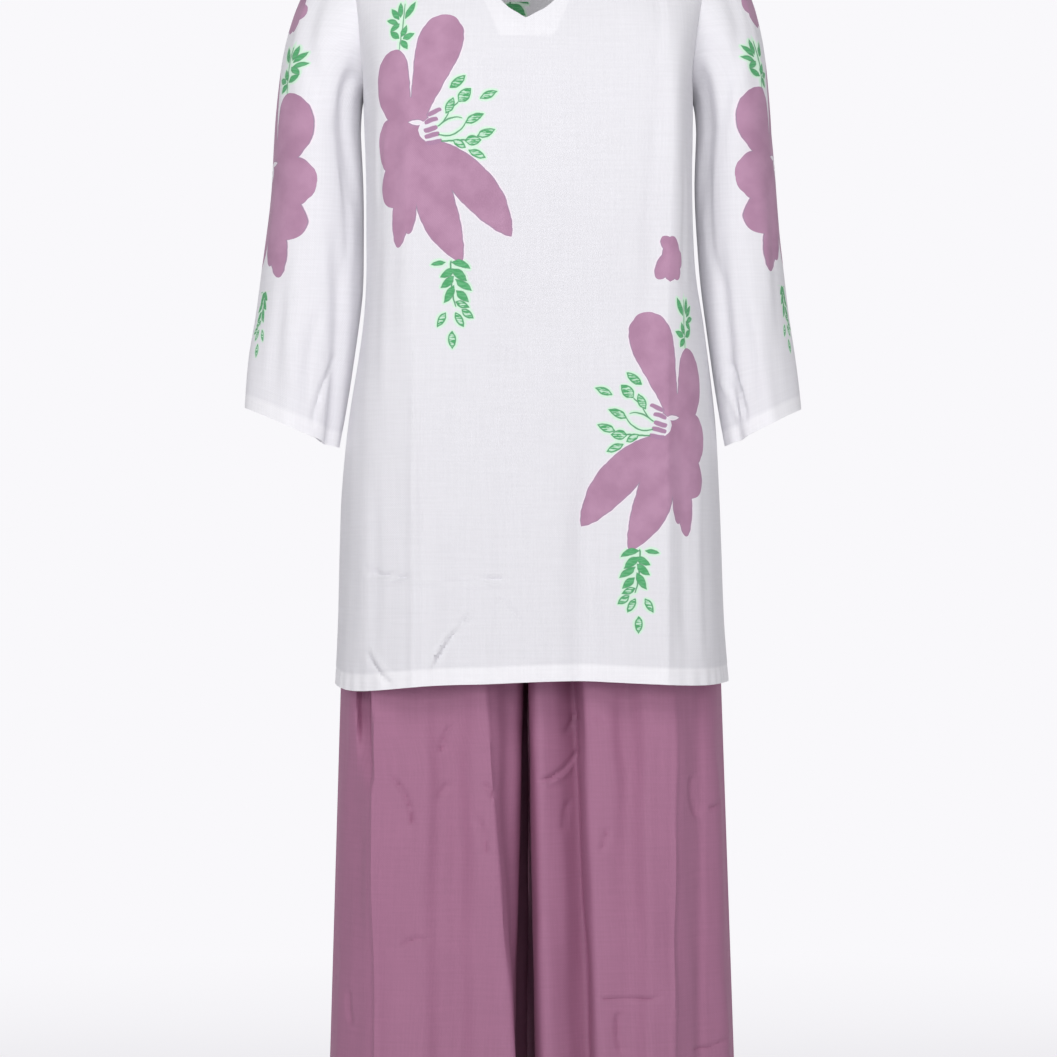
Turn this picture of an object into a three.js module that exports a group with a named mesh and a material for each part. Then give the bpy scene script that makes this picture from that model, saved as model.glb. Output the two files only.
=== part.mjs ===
// Kurta set: a printed white kurta with three-quarter sleeves over mauve wide-leg trousers.
// It keeps the hollow form it has when it is worn, with no wearer inside.
// Millimetres, +Z up, the front faces -Y and +X is the right side of a view from the front.
// The origin is the middle of the shoulder line, level with the high neck points.
// "Left" and "right" are as seen from the front: left is -X.

import * as THREE from 'three';

// Cloth and sewing
const CLOTH = 1.5;
const HEM_CLOTH = 2.6;
const SEAM_GAP = 0.3;
const FACING_CLOTH = 1.1;

// Kurta levels, measured down from the high neck points
const HEM_LEVEL = -780;
const HEM_TURN = 15;
const HEM_SWAY_FADE = 140;
const ARMPIT_LEVEL = -200;
const SHOULDER_LEVEL = -45;

// Kurta widths across the neck and shoulders
const NECK_HALF = 75;
const NECK_FRONT_DROP = 129;
const NECK_V_POWER = 2.1;
const NECK_NOTCH = 4;
const NECK_NOTCH_SHARE = 0.125;
const NECK_BACK_DROP = 18;
const NECK_MIDDLE_X = -5;
const SHOULDER_HALF = 188;
const SHOULDER_CREASE_HALF = 132;
const ARMHOLE_FRONT_DEPTH = 62;
const ARMHOLE_BACK_DEPTH = 66;
const ARMHOLE_DIP = 5;
const ARMHOLE_ROUND = 0.85;
const ARMHOLE_LEAN = 1.4;

// Place inside the body that the armhole's wall points to
const ARMHOLE_HOLLOW_X = 90;
const ARMHOLE_HOLLOW_LEVEL = -125;

// Lengthwise creases that part the flat front from the sides that turn back
const CREASE_LEFT = -114;
const CREASE_RIGHT = 132;
const BACK_CREASE = 108;
const NECK_COLUMN = 60;

// How round the chest and the upper back run in to the shoulder seam
const FRONT_ROUND = 0.7;
const BACK_ROUND = 0.45;
const SHOULDER_TURN = 0.75;

// Folds fade in over this depth from a side seam, and over a third of their length at each end
const FOLD_SEAM_FADE = 40;
const FOLD_END_PARTS = 3;

// The back hem sways this much of the front hem's sway
const BACK_SWAY = 0.5;

// Body of the kurta by level: side seams, depths in front and behind, and how square the
// side turns at its crease in front (1 is a smooth turn, less gives a pressed edge)
const BODY = [
  { level: -785, left: -196, right: 198, front: 121, back: 122, turn: 0.80 },
  { level: -720, left: -193, right: 193, front: 119, back: 121, turn: 0.80 },
  { level: -640, left: -191, right: 190, front: 117, back: 120, turn: 0.82 },
  { level: -590, left: -189, right: 188, front: 115, back: 119, turn: 0.84 },
  { level: -520, left: -182, right: 184, front: 112, back: 112, turn: 0.86 },
  { level: -430, left: -168, right: 173, front: 110, back: 102, turn: 0.90 },
  { level: -370, left: -164, right: 164, front: 114, back: 100, turn: 0.95 },
  { level: -290, left: -164, right: 160, front: 120, back: 103, turn: 0.98 },
  { level: -200, left: -167, right: 160, front: 116, back: 104, turn: 1.00 },
];

// Height of the front hem above HEM_LEVEL, across the hem
const HEM_SWAY = [
  { x: -196, up: -3 },
  { x: -180, up: -7 },
  { x: -155, up: -6 },
  { x: -104, up: -1 },
  { x: -46, up: 1 },
  { x: 40, up: 4 },
  { x: 120, up: 1 },
  { x: 170, up: -1 },
  { x: 198, up: 0 },
];

// Folds of the kurta. Each runs between two levels, at an x that drifts from top to foot,
// and rises (+) or sinks (-) at its middle.
const FRONT_FOLDS = [
  { name: 'left press crease', top: -430, foot: -960, xTop: -114, xFoot: -114, half: 9, rise: 2.2 },
  { name: 'right press crease', top: -390, foot: -980, xTop: 132, xFoot: 132, half: 9, rise: 2.0 },
  { name: 'trough right of middle', top: -540, foot: -910, xTop: 47, xFoot: 50, half: 24, rise: -5 },
  { name: 'trough left of middle', top: -600, foot: -880, xTop: -62, xFoot: -80, half: 30, rise: -3.5 },
  { name: 'left armhole fold', top: -150, foot: -470, xTop: -132, xFoot: -140, half: 17, rise: -4 },
  { name: 'right armhole fold', top: -150, foot: -520, xTop: 128, xFoot: 112, half: 19, rise: -3.5 },
];
const BACK_FOLDS = [
  { name: 'middle fold', top: -640, foot: -860, xTop: 6, xFoot: 2, half: 26, rise: -6 },
  { name: 'left fold', top: -630, foot: -860, xTop: -74, xFoot: -84, half: 24, rise: -7 },
  { name: 'right fold', top: -645, foot: -860, xTop: 86, xFoot: 94, half: 22, rise: -6 },
  { name: 'left waist fold', top: -230, foot: -555, xTop: -52, xFoot: -44, half: 24, rise: -5 },
  { name: 'right waist fold', top: -250, foot: -545, xTop: 58, xFoot: 46, half: 22, rise: -5 },
];

// Levels of the grid rows, hem to armpit, and the number of rows from there to the shoulder
const BODY_ROWS = [
  -780, -765, -763, -720, -670, -620, -590, -560, -510, -460, -410, -355, -300, -250, -200,
];
const UPPER_ROWS = 10;

// Sleeves by level: outer and inner edge, half depth and how far the middle hangs forward.
// They were pressed flat, so their edges are sharper than an oval's (SLEEVE_EDGE above 1).
const SLEEVE_LEFT = [
  { level: -235, outer: -257, inner: -170, deep: 56, forward: 2 },
  { level: -290, outer: -260, inner: -167.5, deep: 54, forward: 2 },
  { level: -345, outer: -267, inner: -167, deep: 51, forward: 3 },
  { level: -400, outer: -273, inner: -168.5, deep: 48, forward: 5 },
  { level: -465, outer: -281, inner: -178.5, deep: 43, forward: 8 },
  { level: -528, outer: -285, inner: -191, deep: 39, forward: 11 },
];
const SLEEVE_RIGHT = [
  { level: -235, outer: 241, inner: 165, deep: 59, forward: 2 },
  { level: -290, outer: 246, inner: 163.5, deep: 57, forward: 2 },
  { level: -345, outer: 251, inner: 166, deep: 54, forward: 3 },
  { level: -400, outer: 256, inner: 171, deep: 51, forward: 5 },
  { level: -465, outer: 263, inner: 181, deep: 47, forward: 8 },
  { level: -528, outer: 269, inner: 193, deep: 43, forward: 11 },
];
const CUFF_LEVEL = -528;
const CUFF_RISE_LEFT = 20;
const CUFF_RISE_RIGHT = 18.5;
const CUFF_TILT_FROM = -400;
const SLEEVE_ROWS = [-528, -514, -512, -484, -452, -418, -382, -346, -310, -272, -235];
const CAP_ROWS = 6;
const SLEEVE_EDGE = 1.3;
const CAP_OUT = 0.91;
const CAP_DOWN = 0.25;

// Sleeve folds: the angle is counted from the outer edge round the front (+) or the back (-)
const SLEEVE_FOLDS_LEFT = [
  { name: 'fold to the cuff', top: -300, foot: -640, angleTop: 112, angleFoot: 166, half: 17, rise: -6 },
  { name: 'front ridge', top: -380, foot: -600, angleTop: 80, angleFoot: 92, half: 22, rise: 2.5 },
  { name: 'fold under the arm', top: -150, foot: -330, angleTop: 112, angleFoot: 150, half: 18, rise: -7 },
  { name: 'back fold', top: -290, foot: -640, angleTop: -118, angleFoot: -142, half: 20, rise: -6 },
];
const SLEEVE_FOLDS_RIGHT = [
  { name: 'fold to the cuff', top: -310, foot: -640, angleTop: 118, angleFoot: 142, half: 16, rise: -6 },
  { name: 'front ridge', top: -320, foot: -630, angleTop: 84, angleFoot: 78, half: 20, rise: 2.5 },
  { name: 'fold under the arm', top: -150, foot: -330, angleTop: 120, angleFoot: 152, half: 18, rise: -7 },
  { name: 'back fold', top: -300, foot: -650, angleTop: -112, angleFoot: -136, half: 20, rise: -6 },
];

// Trousers
const WAIST_LEVEL = -385;
const WAISTBAND_HEIGHT = 35;
const CROTCH_LEVEL = -670;
const FRONT_RISE_LEVEL = -560;
const BACK_RISE_LEVEL = -592;
const FOLDS_FULL_LEVEL = -775;
const LEG_TABLE_TOP = -780;
const LEG_TABLE_FOOT = -1160;
const LEG_FLARE = 0.2;
const TROUSER_MIDDLE = -5;
const LEG_ROWS = [-1430, -1410, -1408, -1290, -1160, -1035, -905, -775, -725];
const HIP_ROWS = [-590, -560, -520, -480, -430, -385];
const CROTCH_STEPS = 5;
const CROTCH_STEP_ANGLE = Math.PI / 2 / CROTCH_STEPS;
const CROTCH_REACH = 5;

// Hips of the trousers by level. The seat lies against the inside of the kurta's back.
const SEAT_LEVEL = -590;
const SEAT_DEPTH = 119 - CLOTH - SEAM_GAP;
const HIPS = [
  { level: -800, half: 186, front: 92, back: 93 },
  { level: -700, half: 181, front: 96, back: 104 },
  { level: SEAT_LEVEL, half: 172, front: 101, back: SEAT_DEPTH },
  { level: -480, half: 157, front: 98, back: 96 },
  { level: WAIST_LEVEL, half: 141, front: 92, back: 84 },
];

// Front of each leg as it hangs: the place and depth of each crease and fold, at the kurta's
// hem (top) and at the foot of the table, from the side seam in to the inside leg seam
const LEFT_LEG_FRONT = [
  { fold: 'side seam', xTop: -190, xFoot: -201, yTop: 0, yFoot: 0 },
  { fold: 'side', xTop: -181, xFoot: -190, yTop: 47, yFoot: 52 },
  { fold: 'side valley', xTop: -167, xFoot: -170, yTop: 66, yFoot: 82 },
  { fold: 'press crease', xTop: -154, xFoot: -151, yTop: 88, yFoot: 100 },
  { fold: 'front', xTop: -118, xFoot: -118, yTop: 92, yFoot: 106 },
  { fold: 'trough', xTop: -84, xFoot: -76, yTop: 87, yFoot: 101 },
  { fold: 'ridge', xTop: -48, xFoot: -20, yTop: 95, yFoot: 110 },
  { fold: 'valley', xTop: -34, xFoot: -15, yTop: 72, yFoot: 84 },
  { fold: 'inner ridge', xTop: -20, xFoot: -15, yTop: 66, yFoot: 52 },
  { fold: 'inside seam', xTop: -10, xFoot: -18, yTop: 0, yFoot: 0 },
];
const RIGHT_LEG_FRONT = [
  { fold: 'inside seam', xTop: -2.5, xFoot: 4.5, yTop: 0, yFoot: 0 },
  { fold: 'inner side', xTop: 0, xFoot: 7, yTop: 52, yFoot: 56 },
  { fold: 'inner ridge', xTop: 11, xFoot: 18, yTop: 82, yFoot: 92 },
  { fold: 'valley', xTop: 36, xFoot: 48, yTop: 70, yFoot: 84 },
  { fold: 'front ridge', xTop: 52, xFoot: 67, yTop: 92, yFoot: 108 },
  { fold: 'dip', xTop: 90, xFoot: 96, yTop: 88, yFoot: 102 },
  { fold: 'front', xTop: 118, xFoot: 117, yTop: 92, yFoot: 107 },
  { fold: 'press crease', xTop: 142, xFoot: 136, yTop: 88, yFoot: 102 },
  { fold: 'side valley', xTop: 162, xFoot: 163, yTop: 64, yFoot: 76 },
  { fold: 'side', xTop: 181, xFoot: 192, yTop: 46, yFoot: 52 },
  { fold: 'side seam', xTop: 190, xFoot: 203, yTop: 0, yFoot: 0 },
];
// Back of each leg. The two inner folds pass each other, so that little light shows between.
const LEFT_LEG_BACK = [
  { fold: 'inside seam', xTop: -10, xFoot: -18, yTop: 0, yFoot: 0 },
  { fold: 'inner fold', xTop: -3, xFoot: -3, yTop: 44, yFoot: 46 },
  { fold: 'inner hollow', xTop: -14, xFoot: -15, yTop: 80, yFoot: 86 },
  { fold: 'ridge', xTop: -48, xFoot: -54, yTop: 92, yFoot: 110 },
  { fold: 'valley', xTop: -78, xFoot: -84, yTop: 82, yFoot: 92 },
  { fold: 'back crease', xTop: -108, xFoot: -112, yTop: 92, yFoot: 113 },
  { fold: 'outer valley', xTop: -142, xFoot: -147, yTop: 78, yFoot: 90 },
  { fold: 'outer ridge', xTop: -168, xFoot: -175, yTop: 66, yFoot: 78 },
  { fold: 'side', xTop: -184, xFoot: -195, yTop: 38, yFoot: 42 },
  { fold: 'side seam', xTop: -190, xFoot: -201, yTop: 0, yFoot: 0 },
];
const RIGHT_LEG_BACK = [
  { fold: 'side seam', xTop: 190, xFoot: 203, yTop: 0, yFoot: 0 },
  { fold: 'side', xTop: 184, xFoot: 196, yTop: 38, yFoot: 42 },
  { fold: 'outer ridge', xTop: 167, xFoot: 176, yTop: 67, yFoot: 80 },
  { fold: 'outer valley', xTop: 143, xFoot: 149, yTop: 78, yFoot: 88 },
  { fold: 'back crease', xTop: 104, xFoot: 110, yTop: 93, yFoot: 115 },
  { fold: 'valley', xTop: 76, xFoot: 80, yTop: 82, yFoot: 90 },
  { fold: 'ridge', xTop: 44, xFoot: 48, yTop: 93, yFoot: 111 },
  { fold: 'inner fold', xTop: -4, xFoot: -4, yTop: 78, yFoot: 84 },
  { fold: 'inner hollow', xTop: 8, xFoot: 10, yTop: 40, yFoot: 42 },
  { fold: 'inside seam', xTop: -2.5, xFoot: 4.5, yTop: 0, yFoot: 0 },
];
const FRONT_LEG_COLUMNS = 20;
const BACK_LEG_COLUMNS = 18;
const WAISTBAND_COLUMNS = 36;

// Grid columns of the front and back panels
const SIDE_COLUMNS = 6;
const SHOULDER_COLUMNS = 3;
const NECK_COLUMNS = 5;
const FACING_ROWS = 3;

// Planes that the seams lie in
const SIDE_SEAM = new THREE.Vector3(0, 1, 0);
const MIDDLE_SEAM = new THREE.Vector3(1, 0, 0);

function mix(a, b, share) {
  return a + (b - a) * share;
}

function clamp01(value) {
  return Math.min(1, Math.max(0, value));
}

function smoothStep(share) {
  const s = clamp01(share);
  return s * s * (3 - 2 * s);
}

// Reads one named column of a table at a place, on a smooth curve through the table's rows
function readCurve(rows, placeKey, valueKey, place) {
  const last = rows.length - 1;
  const slope = (i) => {
    const a = rows[Math.max(0, i - 1)];
    const b = rows[Math.min(last, i + 1)];
    return (b[valueKey] - a[valueKey]) / (b[placeKey] - a[placeKey]);
  };
  if (place <= rows[0][placeKey]) {
    return rows[0][valueKey] + slope(0) * (place - rows[0][placeKey]);
  }
  if (place >= rows[last][placeKey]) {
    return rows[last][valueKey] + slope(last) * (place - rows[last][placeKey]);
  }
  let i = 0;
  while (place > rows[i + 1][placeKey]) i += 1;
  const span = rows[i + 1][placeKey] - rows[i][placeKey];
  const t = (place - rows[i][placeKey]) / span;
  const t2 = t * t;
  const t3 = t2 * t;
  return (2 * t3 - 3 * t2 + 1) * rows[i][valueKey]
    + (t3 - 2 * t2 + t) * span * slope(i)
    + (3 * t2 - 2 * t3) * rows[i + 1][valueKey]
    + (t3 - t2) * span * slope(i + 1);
}

// Height of a list of folds at a place: each is a soft ridge or trough that fades in over the
// third of its length at each end, so one that runs off an edge has its foot below that edge
function foldRise(folds, x, level, xTopKey, xFootKey) {
  let rise = 0;
  for (const fold of folds) {
    const along = (fold.top - level) / (fold.top - fold.foot);
    const middle = mix(fold[xTopKey], fold[xFootKey], clamp01(along));
    const across = (x - middle) / fold.half;
    if (Math.abs(across) < 1 && along > 0 && along < 1) {
      const profile = 0.5 + 0.5 * Math.cos(Math.PI * across);
      const fadeIn = smoothStep(along * FOLD_END_PARTS);
      const fadeOut = smoothStep((1 - along) * FOLD_END_PARTS);
      rise += fold.rise * profile * fadeIn * fadeOut;
    }
  }
  return rise;
}

// Shoulder seam seen from the front: it slopes down from the high neck point to the armhole
function shoulderLevel(x) {
  const out = Math.max(0, Math.abs(x) - NECK_HALF) / (SHOULDER_HALF - NECK_HALF);
  return SHOULDER_LEVEL * out;
}

// Side of the armhole, from the armpit (0) to the shoulder point (1), in front or behind
function armholePoint(isFront, isLeft, share) {
  const armpitX = readCurve(BODY, 'level', isLeft ? 'left' : 'right', ARMPIT_LEVEL);
  const shoulderX = isLeft ? -SHOULDER_HALF : SHOULDER_HALF;
  const dip = ARMHOLE_DIP * Math.sin(Math.PI * share) * Math.sign(shoulderX);
  const depth = isFront ? -ARMHOLE_FRONT_DEPTH : ARMHOLE_BACK_DEPTH;
  const climb = 0.5 * share + 0.25 * (1 - Math.cos(Math.PI * share));
  return new THREE.Vector3(
    mix(armpitX, shoulderX, share ** ARMHOLE_LEAN) - dip,
    depth * Math.sin(Math.PI * share) ** ARMHOLE_ROUND,
    mix(ARMPIT_LEVEL, SHOULDER_LEVEL, climb),
  );
}

// Across the armhole's wall: from the seam towards the hollow that body and sleeve share
function armholeInward(point) {
  const hollow = new THREE.Vector3(Math.sign(point.x) * ARMHOLE_HOLLOW_X, 0, ARMHOLE_HOLLOW_LEVEL);
  return hollow.sub(point).normalize();
}

// Across the armhole's seam, from the body to the sleeve
function armholeOutward(isFront, isLeft, share) {
  const step = 0.01;
  const before = armholePoint(isFront, isLeft, Math.max(0, share - step));
  const after = armholePoint(isFront, isLeft, Math.min(1, share + step));
  const along = after.sub(before).normalize();
  const out = along.cross(armholeInward(armholePoint(isFront, isLeft, share))).normalize();
  const side = isLeft ? -1 : 1;
  return out.x * side < 0 ? out.negate() : out;
}

// Columns of a body panel from the left side seam to the right one: the zone a column is in,
// its share across the zone, and the place its lower and top ends have between the creases
function bodyColumns(isFront) {
  const creaseLeft = isFront ? CREASE_LEFT : -BACK_CREASE;
  const creaseRight = isFront ? CREASE_RIGHT : BACK_CREASE;
  const middle = isFront ? NECK_MIDDLE_X : 0;
  const zone = (name, steps, low, top) => ({ name, steps, low, top });
  const foldTop = SHOULDER_CREASE_HALF;
  const zones = [
    zone('leftSide', SIDE_COLUMNS, [creaseLeft, creaseLeft], [-foldTop, -foldTop]),
    zone('leftShoulder', SHOULDER_COLUMNS, [creaseLeft, -NECK_COLUMN], [-foldTop, -NECK_HALF]),
    zone('leftNeck', NECK_COLUMNS, [-NECK_COLUMN, middle], [-NECK_HALF, middle]),
    zone('rightNeck', NECK_COLUMNS, [middle, NECK_COLUMN], [middle, NECK_HALF]),
    zone('rightShoulder', SHOULDER_COLUMNS, [NECK_COLUMN, creaseRight], [NECK_HALF, foldTop]),
    zone('rightSide', SIDE_COLUMNS, [creaseRight, creaseRight], [foldTop, foldTop]),
  ];
  const columns = [];
  zones.forEach((entry, index) => {
    const first = index === 0 ? 0 : 1;
    for (let step = first; step <= entry.steps; step += 1) {
      const share = step / entry.steps;
      columns.push({
        zone: entry.name,
        share,
        lowX: mix(entry.low[0], entry.low[1], share),
        topX: mix(entry.top[0], entry.top[1], share),
      });
    }
  });
  return columns;
}

// Neckline in front: a soft V with a small notch at its tip
function frontNeckLevel(x) {
  const reach = NECK_HALF + NECK_MIDDLE_X * Math.sign(NECK_MIDDLE_X - x);
  const across = Math.abs(x - NECK_MIDDLE_X) / reach;
  const notch = NECK_NOTCH * Math.max(0, 1 - across / NECK_NOTCH_SHARE);
  return -NECK_FRONT_DROP * (1 - across ** NECK_V_POWER) - notch;
}

function backNeckLevel(x) {
  return -NECK_BACK_DROP * (1 - (x / NECK_HALF) ** 2);
}

// Point between the creases, at any height: the chest or back runs in to the shoulder line
function middlePoint(isFront, column, share, level) {
  if (share === 0) {
    const depth = readCurve(BODY, 'level', isFront ? 'front' : 'back', level);
    return new THREE.Vector3(column.lowX, isFront ? -depth : depth, level);
  }
  const overNeck = column.zone.endsWith('Neck');
  const neckLevel = isFront ? frontNeckLevel(column.topX) : backNeckLevel(column.topX);
  const topLevel = overNeck ? neckLevel : shoulderLevel(column.topX);
  const x = mix(column.lowX, column.topX, share);
  const z = mix(ARMPIT_LEVEL, topLevel, share);
  const depth = readCurve(BODY, 'level', isFront ? 'front' : 'back', ARMPIT_LEVEL);
  const climb = clamp01((z - ARMPIT_LEVEL) / (shoulderLevel(x) - ARMPIT_LEVEL));
  const round = isFront ? FRONT_ROUND : BACK_ROUND;
  const y = depth * (1 - climb ** 2) ** round;
  return new THREE.Vector3(x, isFront ? -y : y, z);
}

// Point on the side of the body, on a curve from the crease (0) round to the side seam (1)
function sidePoint(crease, control, seam, share) {
  const rest = 1 - share;
  return new THREE.Vector3()
    .addScaledVector(crease, rest * rest)
    .addScaledVector(control, 2 * rest * share)
    .addScaledVector(seam, share * share);
}

// Point of a body panel, with share 0 below the armpit and up to 1 at the shoulder seam
function bodyPoint(isFront, column, share, level) {
  if (!column.zone.endsWith('Side')) return middlePoint(isFront, column, share, level);
  const isLeft = column.zone === 'leftSide';
  const fromCrease = isLeft ? 1 - column.share : column.share;
  const crease = middlePoint(isFront, column, share, level);
  const turn = isFront ? readCurve(BODY, 'level', 'turn', level) : 1;
  let seam = armholePoint(isFront, isLeft, share);
  if (share === 0) {
    const seamX = readCurve(BODY, 'level', isLeft ? 'left' : 'right', level);
    seam = new THREE.Vector3(seamX, 0, level);
  }
  const reach = mix(seam.x, (seam.x + crease.x) / 2, share ** 2);
  const square = mix(turn, SHOULDER_TURN, share);
  const control = new THREE.Vector3(reach, crease.y * square, (crease.z + seam.z) / 2);
  return sidePoint(crease, control, seam, fromCrease);
}

// Grid of a body panel, rows hem to shoulder, columns left to right as seen from outside
function bodyGrid(isFront) {
  const columns = bodyColumns(isFront);
  const away = isFront ? -1 : 1;
  const folds = isFront ? FRONT_FOLDS : BACK_FOLDS;
  const rows = [];
  const place = (column, share, level) => {
    const point = bodyPoint(isFront, column, share, level);
    if (share === 0) {
      const sway = readCurve(HEM_SWAY, 'x', 'up', point.x) * (isFront ? 1 : BACK_SWAY);
      point.z += sway * clamp01(1 - (level - HEM_LEVEL - HEM_TURN) / HEM_SWAY_FADE);
    }
    const onSeam = share === 1 ? 0 : clamp01(Math.abs(point.y) / FOLD_SEAM_FADE);
    point.y += away * foldRise(folds, point.x, point.z, 'xTop', 'xFoot') * onSeam;
    point.y = away * Math.max(SEAM_GAP / 2, away * point.y);
    return point;
  };
  for (const level of BODY_ROWS) rows.push(columns.map((column) => place(column, 0, level)));
  for (let i = 1; i <= UPPER_ROWS; i += 1) {
    rows.push(columns.map((column) => place(column, i / UPPER_ROWS, ARMPIT_LEVEL)));
  }
  const armpitRow = BODY_ROWS.length - 1;
  for (let row = armpitRow; row < rows.length; row += 1) {
    const share = (row - armpitRow) / UPPER_ROWS;
    rows[row][0].addScaledVector(armholeOutward(isFront, true, share), -SEAM_GAP / 2);
    const outward = armholeOutward(isFront, false, share);
    rows[row][columns.length - 1].addScaledVector(outward, -SEAM_GAP / 2);
  }
  if (!isFront) rows.forEach((row) => row.reverse());
  return rows;
}

// Directions that a grid's normals have, from the differences between neighbours
function gridNormals(grid, isRound) {
  const rowCount = grid.length;
  const columnCount = grid[0].length;
  return grid.map((row, r) => row.map((_, c) => {
    const before = isRound ? (c + columnCount - 1) % columnCount : Math.max(0, c - 1);
    const after = isRound ? (c + 1) % columnCount : Math.min(columnCount - 1, c + 1);
    const across = row[after].clone().sub(row[before]);
    const up = grid[Math.min(rowCount - 1, r + 1)][c].clone().sub(grid[Math.max(0, r - 1)][c]);
    return across.cross(up).normalize();
  }));
}

// Moves a direction into the planes of the seams that it lies on
function withinSeams(direction, planes) {
  const kept = direction.clone();
  for (const plane of planes) kept.addScaledVector(plane, -kept.dot(plane));
  return kept.normalize();
}

// Inner grid of a wall: each point of the outer one moved in, within the seams at its edges.
// seams gives a function for each edge: from the row or column to planes or to a direction.
function innerGrid(grid, isRound, thickness, seams) {
  const normals = gridNormals(grid, isRound);
  const lastRow = grid.length - 1;
  const lastColumn = grid[0].length - 1;
  return grid.map((row, r) => row.map((point, c) => {
    const rules = [];
    if (c === 0 && seams.left) rules.push(seams.left(r));
    if (c === lastColumn && seams.right) rules.push(seams.right(r));
    if (r === 0 && seams.bottom) rules.push(seams.bottom(c));
    if (r === lastRow && seams.top) rules.push(seams.top(c));
    const fixed = rules.find((rule) => rule.direction);
    const inward = normals[r][c].negate();
    const planes = rules.flatMap((rule) => rule.planes ?? []);
    const direction = fixed ? fixed.direction : withinSeams(inward, planes);
    return point.clone().addScaledVector(direction, thickness(r));
  }));
}

// Closed wall between an outer and an inner grid, with rims where the grid ends
function wallGeometry(outer, inner, isRound) {
  const rowCount = outer.length;
  const columnCount = outer[0].length;
  const positions = [...outer.flat(), ...inner.flat()].flatMap((p) => [p.x, p.y, p.z]);
  const outerAt = (r, c) => r * columnCount + (c % columnCount);
  const innerAt = (r, c) => rowCount * columnCount + outerAt(r, c);
  const indices = [];
  const quad = (a, b, c, d) => indices.push(a, b, c, a, c, d);
  const spans = isRound ? columnCount : columnCount - 1;
  for (let r = 0; r < rowCount - 1; r += 1) {
    for (let c = 0; c < spans; c += 1) {
      const next = (c + 1) % columnCount;
      const rising = outer[r][c].distanceTo(outer[r + 1][next]);
      const falling = outer[r][next].distanceTo(outer[r + 1][c]);
      if (rising <= falling) {
        quad(outerAt(r, c), outerAt(r, c + 1), outerAt(r + 1, c + 1), outerAt(r + 1, c));
        quad(innerAt(r, c), innerAt(r + 1, c), innerAt(r + 1, c + 1), innerAt(r, c + 1));
      } else {
        quad(outerAt(r, c + 1), outerAt(r + 1, c + 1), outerAt(r + 1, c), outerAt(r, c));
        quad(innerAt(r, c + 1), innerAt(r, c), innerAt(r + 1, c), innerAt(r + 1, c + 1));
      }
    }
  }
  const top = rowCount - 1;
  for (let c = 0; c < spans; c += 1) {
    quad(outerAt(0, c), innerAt(0, c), innerAt(0, c + 1), outerAt(0, c + 1));
    quad(outerAt(top, c), outerAt(top, c + 1), innerAt(top, c + 1), innerAt(top, c));
  }
  if (!isRound) {
    const side = columnCount - 1;
    for (let r = 0; r < top; r += 1) {
      quad(outerAt(r, 0), outerAt(r + 1, 0), innerAt(r + 1, 0), innerAt(r, 0));
      quad(outerAt(r, side), innerAt(r, side), innerAt(r + 1, side), outerAt(r + 1, side));
    }
  }
  const geometry = new THREE.BufferGeometry();
  geometry.setAttribute('position', new THREE.Float32BufferAttribute(positions, 3));
  geometry.setIndex(indices);
  return geometry;
}

const group = new THREE.Group();

const kurtaWhite = { color: 0xe9e7ed, roughness: 0.85, metalness: 0 };
const facingWhite = { color: 0xf2f1f4, roughness: 0.85, metalness: 0 };
const trouserMauve = { color: 0xa36c8a, roughness: 0.8, metalness: 0 };

function addPiece(name, geometry, finish) {
  geometry.computeVertexNormals();
  const mesh = new THREE.Mesh(geometry, new THREE.MeshStandardMaterial(finish));
  mesh.name = name;
  group.add(mesh);
}

// Wall thickness by row: the turned-up hem doubles the cloth over the lowest rows
function hemmed(row) {
  return row < 2 ? HEM_CLOTH : CLOTH;
}

// Body panels
function bodyPanel(isFront) {
  const grid = bodyGrid(isFront);
  const armpitRow = BODY_ROWS.length - 1;
  const edge = (isLeft) => (row) => {
    if (row < armpitRow) return { planes: [SIDE_SEAM] };
    const share = (row - armpitRow) / UPPER_ROWS;
    const direction = armholeInward(armholePoint(isFront, isLeft, share));
    return { direction };
  };
  const overNeck = (column) => {
    const across = Math.abs(column - (grid[0].length - 1) / 2);
    return across < NECK_COLUMNS ? { planes: [] } : { planes: [SIDE_SEAM] };
  };
  const seams = { left: edge(isFront), right: edge(!isFront), top: overNeck };
  return { grid, inner: innerGrid(grid, false, hemmed, seams) };
}

const front = bodyPanel(true);
const back = bodyPanel(false);
addPiece('kurta_front', wallGeometry(front.grid, front.inner, false), kurtaWhite);
addPiece('kurta_back', wallGeometry(back.grid, back.inner, false), kurtaWhite);

// Neck facing: the front's own points along the neckline, moved in behind its wall
function neckFacing() {
  const columns = front.grid[0].length;
  const middle = (columns - 1) / 2;
  const first = middle - NECK_COLUMNS;
  const last = middle + NECK_COLUMNS;
  const rows = front.grid.length;
  const outer = [];
  const inner = [];
  for (let r = rows - 1 - FACING_ROWS; r < rows; r += 1) {
    const outerRow = [];
    const innerRow = [];
    for (let c = first; c <= last; c += 1) {
      const wall = front.inner[r][c].clone().sub(front.grid[r][c]).normalize();
      outerRow.push(front.inner[r][c].clone().addScaledVector(wall, SEAM_GAP));
      innerRow.push(front.inner[r][c].clone().addScaledVector(wall, SEAM_GAP + FACING_CLOTH));
    }
    outer.push(outerRow);
    inner.push(innerRow);
  }
  return wallGeometry(outer, inner, false);
}
addPiece('kurta_neck_facing', neckFacing(), facingWhite);

// Sleeves: points run round the tube from the armpit side, the way the grid's outside needs
function sleeveRingSide(isLeft, index) {
  const half = UPPER_ROWS;
  const firstHalf = index <= half;
  const isFront = isLeft ? !firstHalf : firstHalf;
  const share = firstHalf ? index / half : (2 * half - index) / half;
  return { isFront, share };
}

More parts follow.
